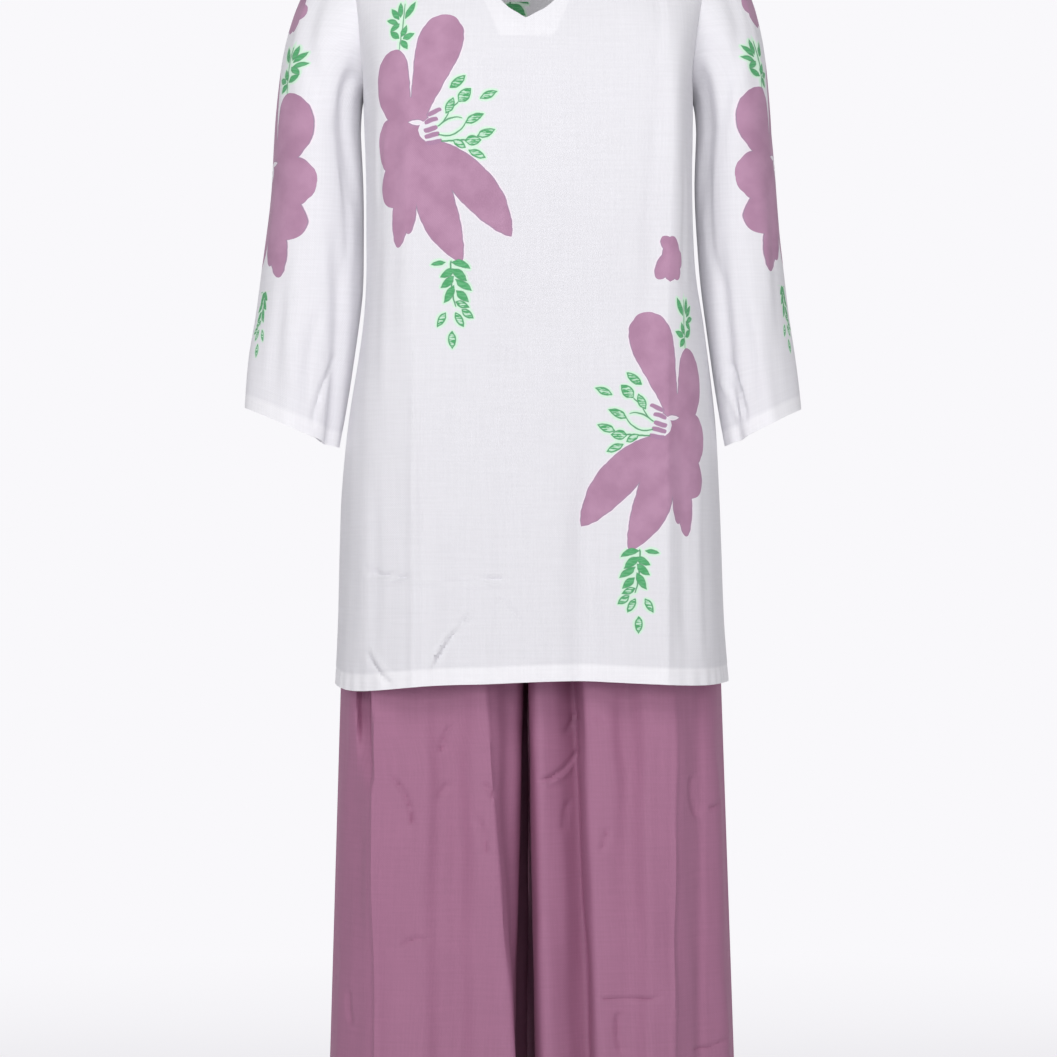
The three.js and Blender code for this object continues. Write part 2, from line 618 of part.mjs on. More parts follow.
function sleevePoint(isLeft, index, level) {
  const table = isLeft ? SLEEVE_LEFT : SLEEVE_RIGHT;
  const folds = isLeft ? SLEEVE_FOLDS_LEFT : SLEEVE_FOLDS_RIGHT;
  const rows = [...table].reverse();
  const outer = readCurve(rows, 'level', 'outer', level);
  const inner = readCurve(rows, 'level', 'inner', level);
  const { isFront, share } = sleeveRingSide(isLeft, index);
  const fromOuter = Math.PI * (1 - share);
  const wide = (outer - inner) / 2;
  const deep = readCurve(rows, 'level', 'deep', level);
  const angle = THREE.MathUtils.radToDeg(fromOuter) * (isFront ? 1 : -1);
  const swell = 1 + foldRise(folds, angle, level, 'angleTop', 'angleFoot') / deep;
  const tilt = smoothStep((CUFF_TILT_FROM - level) / (CUFF_TILT_FROM - CUFF_LEVEL));
  const rise = (isLeft ? CUFF_RISE_LEFT : CUFF_RISE_RIGHT) * tilt;
  const forward = readCurve(rows, 'level', 'forward', level);
  const reach = deep * Math.sin(fromOuter) ** SLEEVE_EDGE * swell;
  return new THREE.Vector3(
    (outer + inner) / 2 + wide * Math.cos(fromOuter) * swell,
    (isFront ? -1 : 1) * reach - forward,
    level + rise * Math.cos(fromOuter),
  );
}

function sleeveGrid(isLeft) {
  const count = 2 * UPPER_ROWS;
  const indices = Array.from({ length: count }, (_, i) => i);
  const rows = SLEEVE_ROWS.map((level) => indices.map((i) => sleevePoint(isLeft, i, level)));
  const topRing = rows[rows.length - 1];
  const armhole = indices.map((i) => {
    const { isFront, share } = sleeveRingSide(isLeft, i);
    const outward = armholeOutward(isFront, isLeft, share);
    if (share === 0 || share === 1) outward.setY(0).normalize();
    return armholePoint(isFront, isLeft, share).addScaledVector(outward, SEAM_GAP / 2);
  });
  for (let row = 1; row <= CAP_ROWS; row += 1) {
    const s = row / CAP_ROWS;
    rows.push(indices.map((i) => {
      const from = topRing[i];
      const to = armhole[i];
      const control = new THREE.Vector3(
        mix(to.x, from.x, CAP_OUT),
        mix(to.y, from.y, 0.5),
        mix(to.z, from.z, CAP_DOWN),
      );
      return sidePoint(from, control, to, s);
    }));
  }
  return rows;
}

function sleeveGeometry(isLeft) {
  const grid = sleeveGrid(isLeft);
  const top = (column) => {
    const { isFront, share } = sleeveRingSide(isLeft, column);
    return { direction: armholeInward(armholePoint(isFront, isLeft, share)) };
  };
  return wallGeometry(grid, innerGrid(grid, true, hemmed, { top }), true);
}
addPiece('kurta_sleeve_left', sleeveGeometry(true), kurtaWhite);
addPiece('kurta_sleeve_right', sleeveGeometry(false), kurtaWhite);

// Trousers: a leg's section as it hangs, from the fold table, at a share across the panel
function legPoint(table, isFront, share, level) {
  const down = Math.min(1, (LEG_TABLE_TOP - level) / (LEG_TABLE_TOP - LEG_TABLE_FOOT));
  const flare = 1 + LEG_FLARE * Math.max(0, LEG_TABLE_FOOT - level) / 1000;
  const knots = table.map((row, index) => ({
    place: index / (table.length - 1),
    x: TROUSER_MIDDLE + (mix(row.xTop, row.xFoot, down) - TROUSER_MIDDLE) * flare,
    y: mix(row.yTop, row.yFoot, down) * flare,
  }));
  const y = readCurve(knots, 'place', 'y', share);
  return new THREE.Vector3(readCurve(knots, 'place', 'x', share), isFront ? -y : y, level);
}

// Hip section: a round arc from the side seam to the middle of the front or back
function hipPoint(isLeft, isFront, fromSide, level) {
  const half = readCurve(HIPS, 'level', 'half', level) * (isLeft ? -1 : 1) - TROUSER_MIDDLE;
  const depth = readCurve(HIPS, 'level', isFront ? 'front' : 'back', level);
  const angle = Math.PI / 2 * fromSide;
  const x = TROUSER_MIDDLE + half * Math.cos(angle);
  return new THREE.Vector3(x, (isFront ? -1 : 1) * depth * Math.sin(angle), level);
}

// Point of a trouser panel: a leg below the crotch that runs into the hips above it
function trouserPoint(panel, share, level) {
  const fromSide = panel.sideFirst ? share : 1 - share;
  const hip = hipPoint(panel.isLeft, panel.isFront, fromSide, level);
  const leg = legPoint(panel.table, panel.isFront, share, level);
  const riseLevel = panel.isFront ? FRONT_RISE_LEVEL : BACK_RISE_LEVEL;
  const climb = clamp01((level - CROTCH_LEVEL) / (riseLevel - CROTCH_LEVEL));
  const outerHip = smoothStep((level - FOLDS_FULL_LEVEL) / (riseLevel - FOLDS_FULL_LEVEL));
  const crotchCurve = Math.sqrt(1 - (1 - climb) ** 2);
  const hipShare = mix(outerHip, crotchCurve, fromSide ** CROTCH_REACH);
  const point = leg.lerp(hip, hipShare);
  const away = panel.isFront ? -1 : 1;
  point.y = away * Math.max(SEAM_GAP / 2, away * point.y);
  if (level >= CROTCH_LEVEL) {
    const side = panel.isLeft ? -1 : 1;
    const fromMiddle = side * (point.x - TROUSER_MIDDLE);
    point.x = TROUSER_MIDDLE + side * Math.max(SEAM_GAP / 2, fromMiddle);
  }
  return point;
}

function trouserRows() {
  const crotch = [];
  for (let step = 0; step < CROTCH_STEPS; step += 1) {
    const bend = 1 - Math.cos(step * CROTCH_STEP_ANGLE);
    crotch.push(mix(CROTCH_LEVEL, BACK_RISE_LEVEL, bend));
  }
  return [...LEG_ROWS, ...crotch, ...HIP_ROWS].sort((a, b) => a - b);
}

function trouserPanel(name, panel) {
  const levels = trouserRows();
  const shares = Array.from({ length: panel.columns + 1 }, (_, i) => i / panel.columns);
  const grid = levels.map((level) => shares.map((share) => trouserPoint(panel, share, level)));
  const side = () => ({ planes: [SIDE_SEAM] });
  const inside = (row) => {
    if (levels[row] < CROTCH_LEVEL) return { planes: [SIDE_SEAM] };
    if (levels[row] === CROTCH_LEVEL) return { planes: [SIDE_SEAM, MIDDLE_SEAM] };
    return { planes: [MIDDLE_SEAM] };
  };
  const seams = panel.sideFirst ? { left: side, right: inside } : { left: inside, right: side };
  addPiece(name, wallGeometry(grid, innerGrid(grid, false, hemmed, seams), false), trouserMauve);
}

trouserPanel('trousers_front_left', {
  table: LEFT_LEG_FRONT, isLeft: true, isFront: true, sideFirst: true, columns: FRONT_LEG_COLUMNS,
});
trouserPanel('trousers_front_right', {
  table: RIGHT_LEG_FRONT, isLeft: false, isFront: true, sideFirst: false, columns: FRONT_LEG_COLUMNS,
});
trouserPanel('trousers_back_left', {
  table: LEFT_LEG_BACK, isLeft: true, isFront: false, sideFirst: false, columns: BACK_LEG_COLUMNS,
});
trouserPanel('trousers_back_right', {
  table: RIGHT_LEG_BACK, isLeft: false, isFront: false, sideFirst: true, columns: BACK_LEG_COLUMNS,
});

// Waistband: a plain casing round the waist, on the top edge of the four panels
function waistband() {
  const indices = Array.from({ length: WAISTBAND_COLUMNS }, (_, i) => i);
  const grid = [SEAM_GAP, WAISTBAND_HEIGHT].map((up) => indices.map((i) => {
    const turn = 2 * Math.PI * i / WAISTBAND_COLUMNS;
    const level = WAIST_LEVEL + up;
    const half = readCurve(HIPS, 'level', 'half', WAIST_LEVEL);
    const depth = readCurve(HIPS, 'level', Math.sin(turn) < 0 ? 'front' : 'back', WAIST_LEVEL);
    return new THREE.Vector3(half * Math.cos(turn), depth * Math.sin(turn), level);
  }));
  return wallGeometry(grid, innerGrid(grid, true, () => HEM_CLOTH, {}), true);
}
addPiece('trousers_waistband', waistband(), trouserMauve);

export default group;
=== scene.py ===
"""A printed white kurta over mauve wide-leg trousers, hollow, in the form they have when they are worn.

Lengths are in millimetres until a mesh is made, +Z is up and the front faces -Y. The origin is the
middle of the shoulder line. "Left" is -X, as seen from the front.
"""
import math

import bpy
import numpy as np
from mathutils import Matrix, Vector


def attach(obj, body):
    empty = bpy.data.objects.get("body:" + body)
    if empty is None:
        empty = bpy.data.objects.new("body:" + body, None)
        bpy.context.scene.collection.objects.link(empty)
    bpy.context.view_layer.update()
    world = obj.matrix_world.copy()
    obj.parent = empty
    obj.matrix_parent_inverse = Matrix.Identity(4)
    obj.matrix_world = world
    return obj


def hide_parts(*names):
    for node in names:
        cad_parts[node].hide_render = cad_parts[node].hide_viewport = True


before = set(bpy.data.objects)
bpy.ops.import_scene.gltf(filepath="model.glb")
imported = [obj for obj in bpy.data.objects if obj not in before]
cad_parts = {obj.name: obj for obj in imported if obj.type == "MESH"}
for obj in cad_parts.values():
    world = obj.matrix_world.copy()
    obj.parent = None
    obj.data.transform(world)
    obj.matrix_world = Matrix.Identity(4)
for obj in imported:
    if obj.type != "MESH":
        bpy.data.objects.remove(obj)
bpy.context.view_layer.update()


def table(columns, *rows):
    """A short table: names for the columns, then a row of numbers for each section, fold or blade."""
    names = columns.split()
    return [dict(zip(names, row)) for row in rows]


# Columns of the tables below
FOLD = "top foot x_top x_foot half rise"
CREASE = "x_top z_top x_foot z_foot bow half rise"
SLEEVE_SECTION = "level outer inner deep forward"
SECTION = "x_top x_foot y_top y_foot"
BLADE = "outline x y length width turn bow"
FLOWER_PLACE = "x z wide tall low high"

# Cloth and sewing
CLOTH = 0.8
HEM_CLOTH = 1.9
SEAM_GAP = 0.3
STITCHED_GAP = 0.04
HEM_TURN = 15
CUFF_TURN = 14
HEM_STEP = 1.2
STITCH_DENT = 0.45
STITCH_REACH = 1.6
HEM_PUCKER = 0.5
PUCKER_LENGTH = 19
PUCKER_DRIFT = 0.4
PUCKER_DRIFT_LENGTH = 37
PUCKER_REACH = 16
SHARP_ANGLE = 50

# Kurta
HEM_LEVEL = -780
HEM_SWAY_FADE = 140
ARMPIT_LEVEL = -200
SHOULDER_LEVEL = -45
NECK_HALF = 75
NECK_FRONT_DROP = 129
NECK_V_POWER = 2.1
NECK_NOTCH = 4
NECK_NOTCH_SHARE = 0.125
NECK_BACK_DROP = 18
NECK_MIDDLE_X = -5
SHOULDER_HALF = 188
SHOULDER_CREASE_HALF = 132
ARMHOLE_FRONT_DEPTH = 62
ARMHOLE_BACK_DEPTH = 66
ARMHOLE_DIP = 5
ARMHOLE_ROUND = 0.85
ARMHOLE_LEAN = 1.4
ARMHOLE_HOLLOW_X = 90
ARMHOLE_HOLLOW_LEVEL = -125
CREASE_LEFT = -114
CREASE_RIGHT = 132
BACK_CREASE = 108
NECK_COLUMN = 60
FRONT_ROUND = 0.7
BACK_ROUND = 0.45
SHOULDER_TURN = 0.75
FOLD_SEAM_FADE = 40
BACK_SWAY = 0.5
NECK_EDGE_FADE = 12

# Lengths of cloth that the rows and columns of points are counted from
UPPER_LENGTH = 190
SLEEVE_HALF_GIRTH = 200
FACING_LENGTH = 60
HIP_LENGTH = 200
PANEL_WIDTH = 330
CROTCH_ROWS = 22

# The facing behind the front neckline: its square bottom, and how it widens up from there
FACING_BOTTOM = -152
FACING_HALF_LOW = 27
FACING_SPREAD = 0.42
FACING_SHIFT = 1
FACING_SOFT = 2
FACING_SHOWS = 0.5

# Side seams, depths in front and behind, and how square the side turns in front, by level
BODY = table(
    "level left right front back turn",
    (-785, -196, 198, 121, 122, 0.80),
    (-720, -193, 193, 119, 121, 0.80),
    (-640, -191, 190, 117, 120, 0.82),
    (-590, -189, 188, 115, 119, 0.84),
    (-520, -182, 184, 112, 112, 0.86),
    (-430, -168, 173, 110, 102, 0.90),
    (-370, -164, 164, 114, 100, 0.95),
    (-290, -164, 160, 120, 103, 0.98),
    (-200, -167, 160, 116, 104, 1.00),
)
HEM_SWAY = table(
    "x up",
    (-196, -3), (-180, -7), (-155, -6), (-104, -1), (-46, 1), (40, 4), (120, 1), (170, -1), (198, 0),
)

# The kurta's largest folds: x drifts from top to foot, and rise is the height of the middle
FRONT_FOLDS = table(
    FOLD,
    (-430, -960, -114, -114, 9, 2.2),
    (-390, -980, 132, 132, 9, 2.0),
    (-540, -910, 47, 50, 24, -5),
    (-600, -880, -62, -80, 30, -3.5),
    (-150, -470, -132, -140, 17, -4),
    (-150, -520, 128, 112, 19, -3.5),
)
BACK_FOLDS = table(
    FOLD,
    (-640, -860, 6, 2, 26, -6),
    (-630, -860, -74, -84, 24, -7),
    (-645, -860, 86, 94, 22, -6),
    (-230, -555, -52, -44, 24, -5),
    (-250, -545, 58, 46, 22, -5),
)

# Sleeves: outer and inner edge, half depth, and how far the middle hangs forward, by level
SLEEVE_LEFT = table(
    SLEEVE_SECTION,
    (-235, -257, -170, 56, 2),
    (-290, -260, -167.5, 54, 2),
    (-345, -267, -167, 51, 3),
    (-400, -273, -168.5, 48, 5),
    (-465, -281, -178.5, 43, 8),
    (-528, -285, -191, 39, 11),
)
SLEEVE_RIGHT = table(
    SLEEVE_SECTION,
    (-235, 241, 165, 59, 2),
    (-290, 246, 163.5, 57, 2),
    (-345, 251, 166, 54, 3),
    (-400, 256, 171, 51, 5),
    (-465, 263, 181, 47, 8),
    (-528, 269, 193, 43, 11),
)
CAP_LEVEL = -235
CUFF_LEVEL = -528
CUFF_TILT_FROM = -400
CUFF_RISE_LEFT = 20
CUFF_RISE_RIGHT = 18.5
CAP_PULL = (0.91, 0.5, 0.25)
SLEEVE_EDGE = 1.3
CAP_EDGE_FADE = 10
INNER_EDGE_FADE = 0.12

# Sleeve folds: the angle in degrees runs from the outer edge round the front (+) or the back (-)
SLEEVE_FOLDS_LEFT = table(
    FOLD,
    (-300, -640, 112, 166, 17, -6),
    (-380, -600, 80, 92, 22, 2.5),
    (-150, -330, 112, 150, 18, -7),
    (-290, -640, -118, -142, 20, -6),
)
SLEEVE_FOLDS_RIGHT = table(
    FOLD,
    (-310, -640, 118, 142, 16, -6),
    (-320, -630, 84, 78, 20, 2.5),
    (-150, -330, 120, 152, 18, -7),
    (-300, -650, -112, -136, 20, -6),
)

# Trousers
WAIST_LEVEL = -385
WAISTBAND_HEIGHT = 35
WAIST_COLUMNS = 360
WAIST_ROWS = 10
GATHERS = 60
GATHER_DRIFT = 2
GATHER_DRIFTS = 7
GATHER_DEPTH = 0.006
CROTCH_LEVEL = -670
FRONT_RISE_LEVEL = -560
BACK_RISE_LEVEL = -592
FOLDS_FULL_LEVEL = -775
LEG_TABLE_TOP = -780
LEG_TABLE_FOOT = -1160
LEG_HEM_LEVEL = -1430
LEG_HEM_TURN = 20
LEG_FLARE = 0.2
TROUSER_MIDDLE = -5
CROTCH_REACH = 5
LEG_FOLDS_FADE = 90
HIP_CREASES_FADE = 60
INNER_LEG_FADE = 0.3
INNER_LEG_WAVES = 0.15
LEG_WAVES_SHIFT = 31
SEAT_DEPTH = 117.2
HIPS = table(
    "level half front back",
    (-800, 186, 92, 93),
    (-700, 181, 96, 104),
    (-590, 172, 101, SEAT_DEPTH),
    (-480, 157, 98, 96),
    (-385, 141, 92, 84),
)

# A leg's section as it hangs: each crease and fold at the kurta's hem (top) and lower down (foot)
LEFT_LEG_FRONT = table(
    SECTION,
    (-190, -201, 0, 0),
    (-181, -190, 47, 52),
    (-167, -170, 66, 82),
    (-154, -151, 88, 100),
    (-118, -118, 92, 106),
    (-84, -76, 87, 101),
    (-44, -18, 96, 110),
    (-26, -17.5, 79, 86),
    (-9, -16.5, 62, 60),
    (-8.5, -17.5, 0, 0),
)
RIGHT_LEG_FRONT = table(
    SECTION,
    (-2.5, 4.5, 0, 0),
    (-2, 5, 62, 66),
    (8, 15, 84, 94),
    (41, 55, 66, 80),
    (52, 67, 92, 108),
    (90, 96, 88, 102),
    (118, 117, 92, 107),
    (142, 136, 88, 102),
    (162, 163, 64, 76),
    (181, 192, 46, 52),
    (190, 203, 0, 0),
)
LEFT_LEG_BACK = table(
    SECTION,
    (-10, -18, 0, 0),
    (-3, -3, 44, 46),
    (-14, -15, 80, 86),
    (-48, -54, 92, 110),
    (-78, -84, 82, 92),
    (-108, -112, 92, 113),
    (-142, -147, 78, 90),
    (-168, -175, 66, 78),
    (-184, -195, 38, 42),
    (-190, -201, 0, 0),
)
RIGHT_LEG_BACK = table(
    SECTION,
    (190, 203, 0, 0),
    (184, 196, 38, 42),
    (167, 176, 67, 80),
    (143, 149, 78, 88),
    (104, 110, 93, 115),
    (76, 80, 82, 90),
    (44, 48, 93, 111),
    (-4, -4, 78, 84),
    (8, 10, 40, 42),
    (-2.5, 4.5, 0, 0),
)

# Finer creases. x is across the flat cloth from its middle, on a sleeve from the outer edge round the
# front (+) or the back (-), and on a leg as seen from the front. z is up. half is half the width, rise
# the height (a trough is below 0), and bow how far the middle is pushed aside.
FRONT_CREASES = table(
    CREASE,
    (-175, -673, -112, -679, -2, 2.6, -0.9),
    (-98, -680, -20, -675, 2, 2.6, -0.9),
    (-172, -678, -22, -683, 0, 3.5, 0.5),
    (-176, -668, -154, -671, 0, 2.5, -0.7),
    (-57, -709, -97, -765, 4, 3.2, -1.3),
    (-64, -716, -103, -768, 4, 4.5, 0.8),
    (-36, -695, -10, -724, -3, 4, -0.6),
    (-172, -748, -140, -781, 2, 3, -1.2),
    (-168, -744, -135, -776, 2, 4, 0.7),
    (-41, -450, -19, -461, 0, 4, -0.6),
    (40, -590, 62, -790, -6, 12, -1.2),
    (62, -440, 64, -900, 0, 30, -4.5),
    (90, -560, 96, -800, 5, 16, 1.0),
    (-40, -330, -66, -560, 8, 22, -1.2),
    (30, -250, 52, -520, -8, 26, -1.3),
    (-20, -560, -30, -800, 4, 14, -1.1),
    (0, -610, 4, -800, -4, 12, 1.0),
    (-148, -215, -156, -330, 5, 9, -1.8),
    (-140, -300, -150, -520, 4, 14, 1.5),
    (-160, -560, -165, -800, -3, 12, -1.4),
    (152, -240, 150, -420, -5, 10, -1.6),
    (150, -460, 160, -800, 5, 13, -1.8),
    (172, -520, 180, -800, 3, 11, 1.3),
    (-125, -95, -108, -190, 9, 9, -1.6),
    (122, -90, 112, -200, -8, 10, -1.7),
    (-70, -40, -50, -140, 5, 14, -0.8),
    (72, -45, 55, -150, -5, 15, -0.8),
)
BACK_CREASES = table(
    CREASE,
    (-118, -430, -120, -790, 3, 5, 1.0),
    (118, -440, 122, -790, -3, 5, 1.0),
    (-95, -676, 20, -681, 2, 3, -0.8),
    (-30, -120, -44, -300, 6, 18, -1.3),
    (36, -110, 46, -310, -7, 20, -1.4),
    (-150, -230, -156, -420, 4, 12, -1.7),
    (152, -235, 158, -440, -4, 12, -1.7),
    (40, -560, 50, -800, 5, 13, -1.1),
    (-40, -600, -36, -800, -4, 12, 1.1),
    (60, -700, 96, -752, 4, 4, -0.9),
    (-150, -690, -120, -740, 3, 4, -0.8),
    (-118, -70, -100, -170, 8, 11, -1.5),
    (118, -75, 102, -180, -8, 11, -1.5),
)
SLEEVE_CREASES_LEFT = table(
    CREASE,
    (40, -60, 96, -225, 14, 12, -2.6),
    (24, -50, 66, -220, 12, 9, 1.4),
    (84, -90, 122, -250, 8, 8, -2.0),
    (100, -240, 116, -400, -10, 10, -2.2),
    (66, -330, 70, -520, 4, 15, 1.8),
    (46, -360, 42, -520, -5, 12, -1.2),
    (92, -400, 84, -515, 3, 9, -1.8),
    (120, -450, 90, -522, 6, 5, -1.5),
    (12, -250, 16, -470, 5, 16, -1.0),
    (-50, -80, -96, -240, -12, 14, -2.4),
    (-70, -260, -82, -420, 8, 13, -2.0),
    (-44, -330, -52, -515, -4, 15, 1.6),
    (-100, -380, -84, -515, 3, 11, -1.8),
    (-20, -300, -24, -480, 4, 14, -1.0),
)
SLEEVE_CREASES_RIGHT = table(
    CREASE,
    (44, -60, 104, -230, 14, 12, -2.4),
    (28, -60, 58, -240, 10, 10, 1.6),
    (76, -70, 98, -260, 9, 9, -2.2),
    (110, -255, 96, -410, -12, 10, -2.4),
    (58, -250, 52, -460, 5, 16, 1.9),
    (34, -300, 36, -480, -5, 13, -1.1),
    (108, -455, 84, -520, 7, 5, -1.8),
    (118, -470, 98, -515, 4, 4, 1.2),
    (80, -400, 76, -515, 3, 11, -1.6),
    (8, -240, 12, -450, 4, 15, -0.9),
    (-52, -80, -98, -240, -12, 14, -2.4),
    (-74, -270, -84, -430, 8, 13, -2.0),
    (-46, -320, -50, -515, -4, 15, 1.5),
    (-104, -390, -90, -515, 3, 11, -1.7),
    (-22, -310, -26, -470, 4, 14, -1.0),
)
FRONT_LEG_CREASES_LEFT = table(
    CREASE,
    (-154, -780, -151, -1420, 0, 4, 1.0),
    (-168, -785, -154, -888, 0, 9, -3.2),
    (-78, -820, -88, -848, 2, 4, -1.2),
    (-138, -868, -116, -922, -7, 4, -1.3),
    (-78, -876, -90, -892, 2, 4, -1.1),
    (-48, -876, -36, -892, -2, 5, -1.2),
    (-54, -906, -44, -950, -3, 5, -1.1),
    (-128, -1036, -98, -1030, -5, 4, -1.1),
    (-178, -1080, -176, -1116, 2, 5, -1.1),
    (-72, -790, -64, -980, 5, 17, -1.8),
    (-100, -790, -104, -1000, -4, 14, 1.2),
    (-60, -1010, -58, -1300, 5, 14, -1.6),
    (-90, -1040, -92, -1420, -5, 16, -1.6),
    (-120, -1100, -122, -1425, 4, 14, 1.4),
    (-140, -1160, -136, -1425, -3, 12, -1.6),
    (-40, -1190, -42, -1425, 4, 12, 1.5),
    (-112, -660, -120, -790, 5, 15, -1.4),
)
FRONT_LEG_CREASES_RIGHT = table(
    CREASE,
    (141, -780, 136, -1420, 0, 4, 1.0),
    (84, -785, 90, -870, 2, 11, -2.0),
    (44, -806, 31, -830, -3, 4, -1.2),
    (48, -842, 4, -875, -8, 4, -1.4),
    (44, -850, 10, -880, -6, 4, 0.8),
    (38, -893, 32, -927, 2, 4, -1.1),
    (62, -812, 71, -824, 0, 5, -0.9),
    (74, -918, 67, -944, -2, 4, -1.1),
    (158, -868, 164, -914, 3, 5, -1.5),
    (174, -904, 186, -898, 2, 4, -1.1),
    (86, -1096, 90, -1140, 3, 6, -1.3),
    (62, -1084, 131, -1082, 3, 3, -1.0),
    (156, -1138, 196, -1130, 4, 4, -1.0),
    (100, -800, 104, -1060, 4, 16, -1.4),
    (118, -880, 114, -1300, -4, 14, 1.3),
    (92, -1120, 96, -1425, 5, 15, -1.7),
    (70, -1180, 74, -1425, -4, 12, 1.4),
    (124, -1160, 120, -1425, 4, 12, -1.6),
)
BACK_LEG_CREASES = table(
    CREASE,
    (-66, -800, -60, -1040, 5, 14, -1.6),
    (-96, -860, -100, -1200, -5, 13, 1.4),
    (-126, -800, -130, -980, 4, 12, -1.5),
    (-120, -1060, -116, -1425, 4, 14, -1.7),
    (-60, -1120, -64, -1425, -4, 13, 1.5),
    (-150, -900, -158, -1300, -4, 12, -1.5),
    (-90, -880, -60, -920, 5, 4, -1.1),
    (-110, -1010, -138, -1046, 5, 4, -1.0),
    (60, -800, 66, -1060, 5, 14, -1.6),
    (92, -850, 96, -1180, -5, 13, 1.4),
    (128, -800, 130, -1000, 4, 12, -1.5),
    (118, -1080, 122, -1425, 4, 14, -1.7),
    (62, -1140, 60, -1425, -4, 13, 1.5),
    (152, -920, 160, -1320, -4, 12, -1.5),
    (80, -900, 52, -934, 5, 4, -1.1),
    (108, -1030, 140, -1060, 5, 4, -1.0),
)

# Deep folds of the legs in front: the cloth tucks in behind the next fold
FRONT_LEG_FOLDS = table(
    "side " + FOLD,
    (1, -560, -1010, 92, 96, 17, -4),
    (1, -500, -1900, 116, 112, 13, 1.6),
    (1, -500, -1900, 163, 168, 8, -2.5),
    (-1, -500, -1900, -72, -66, 15, -3),
    (-1, -520, -1500, -104, -100, 13, 2.2),
)

# Lengthwise creases with a sharp edge. Past each, the cloth falls away over a reach in mm and comes
# back within a width. The fall fades in between two levels. leg is -1 or 1, or 0 on the kurta.
SHARP_EDGE = "leg x_top x_foot side fall reach width from_level full_level"
NEVER = 10000
FRONT_EDGES = table(
    SHARP_EDGE,
    (0, -114, -114, -1, 1.2, 10, NEVER, -330, -480),
    (0, 132, 132, 1, 2.4, 13, NEVER, -290, -400),
)
LEG_EDGES = table(
    SHARP_EDGE,
    (-1, -154, -149, -1, 4.5, 12, NEVER, -560, -760),
    (-1, -155, -141, -1, 38, 1.2, 17, -892, -810),
    (-1, -44, 8, 1, 7, 4, NEVER, -560, -760),
    (1, 142, 134, 1, 4.5, 13, NEVER, -560, -760),
    (1, 45, 73.5, -1, 13, 1.2, 22, -560, -700),
)

# Slow waves that keep a hanging cloth from lying dead flat: lengths across and up, lean and height
SLOW_WAVES = table(
    "across up lean phase rise",
    (61, 410, 0.10, 0.3, 0.34),
    (97, 300, -0.14, 1.9, 0.42),
    (38, 260, 0.06, 4.1, 0.16),
    (150, 170, 0.30, 2.6, 0.30),
    (27, 520, -0.05, 5.2, 0.10),
)
WAVE_SWAY = 0.22

# Creases narrower than this half width are strengthened, by another factor in each part
FINE_CREASE = 7
KURTA_CREASES = 2.8
SLEEVE_CREASES = 2.2
LEG_CREASES = 2.4
LEG_WAVES = 2.0


def mix(a, b, share):
    """The value a share of the way from a to b."""
    return a + (b - a) * share


def smooth_step(share):
    """A share from 0 to 1 with a soft start and end."""
    s = np.clip(share, 0, 1)
    return s * s * (3 - 2 * s)


def read_curve(rows, place_key, value_key, place):
    """Reads one named column of a table at each place, on a smooth curve through its rows."""
    order = sorted(rows, key=lambda row: row[place_key])
    at = np.array([row[place_key] for row in order], float)
    value = np.array([row[value_key] for row in order], float)
    before = np.maximum(np.arange(len(at)) - 1, 0)
    after = np.minimum(np.arange(len(at)) + 1, len(at) - 1)
    slope = (value[after] - value[before]) / (at[after] - at[before])
    place = np.asarray(place, float)
    i = np.clip(np.searchsorted(at, place, side="right") - 1, 0, len(at) - 2)
    span = at[i + 1] - at[i]
    t = np.clip((place - at[i]) / span, 0, 1)
    inside = (
        (2 * t**3 - 3 * t**2 + 1) * value[i]
        + (t**3 - 2 * t**2 + t) * span * slope[i]
        + (3 * t**2 - 2 * t**3) * value[i + 1]
        + (t**3 - t**2) * span * slope[i + 1]
    )
    below = np.minimum(place - at[0], 0) * slope[0]
    above = np.maximum(place - at[-1], 0) * slope[-1]
    return inside + below + above


def fold_rise(folds, x, level):
    """Height of the large folds at a place. Each fades over the third of its length at both ends."""
    rise = np.zeros(np.broadcast(x, level).shape)
    for fold in folds:
        along = (fold["top"] - level) / (fold["top"] - fold["foot"])
        middle = mix(fold["x_top"], fold["x_foot"], np.clip(along, 0, 1))
        across = np.clip((x - middle) / fold["half"], -1, 1)
        fade = smooth_step(along * 3) * smooth_step((1 - along) * 3)
        rise += fold["rise"] * (0.5 + 0.5 * np.cos(math.pi * across)) * fade
    return rise


def crease_rise(creases, across, up, depth):
    """Height of the finer creases on the flat cloth: troughs and ridges along short curved lines.
    The narrow ones are made deeper by depth, and fade over a shorter part of their length."""
    rise = np.zeros(across.shape)
    for crease in creases:
        start = np.array([crease["x_top"], crease["z_top"]], float)
        run = np.array([crease["x_foot"], crease["z_foot"]], float) - start
        length = np.hypot(*run)
        along = ((across - start[0]) * run[0] + (up - start[1]) * run[1]) / length**2
        aside = ((across - start[0]) * run[1] - (up - start[1]) * run[0]) / length
        inside = np.clip(along, 0, 1)
        off_line = aside - crease["bow"] * 4 * inside * (1 - inside)
        share = np.clip(off_line / crease["half"], -1, 1)
        narrow = crease["half"] < FINE_CREASE
        ends = 6 if narrow else 3
        fade = smooth_step(along * ends) * smooth_step((1 - along) * ends)
        strength = depth if narrow else 1
        rise += crease["rise"] * strength * (0.5 + 0.5 * np.cos(math.pi * share)) * fade
    return rise


def slow_waves(across, up):
    """Height of the slow waves on the flat cloth."""
    rise = np.zeros(across.shape)
    for wave in SLOW_WAVES:
        sway = WAVE_SWAY * np.sin(2 * math.pi * up / wave["up"])
        turn = (across + wave["lean"] * up) / wave["across"] + sway
        rise += wave["rise"] * np.sin(2 * math.pi * turn + wave["phase"])
    return rise


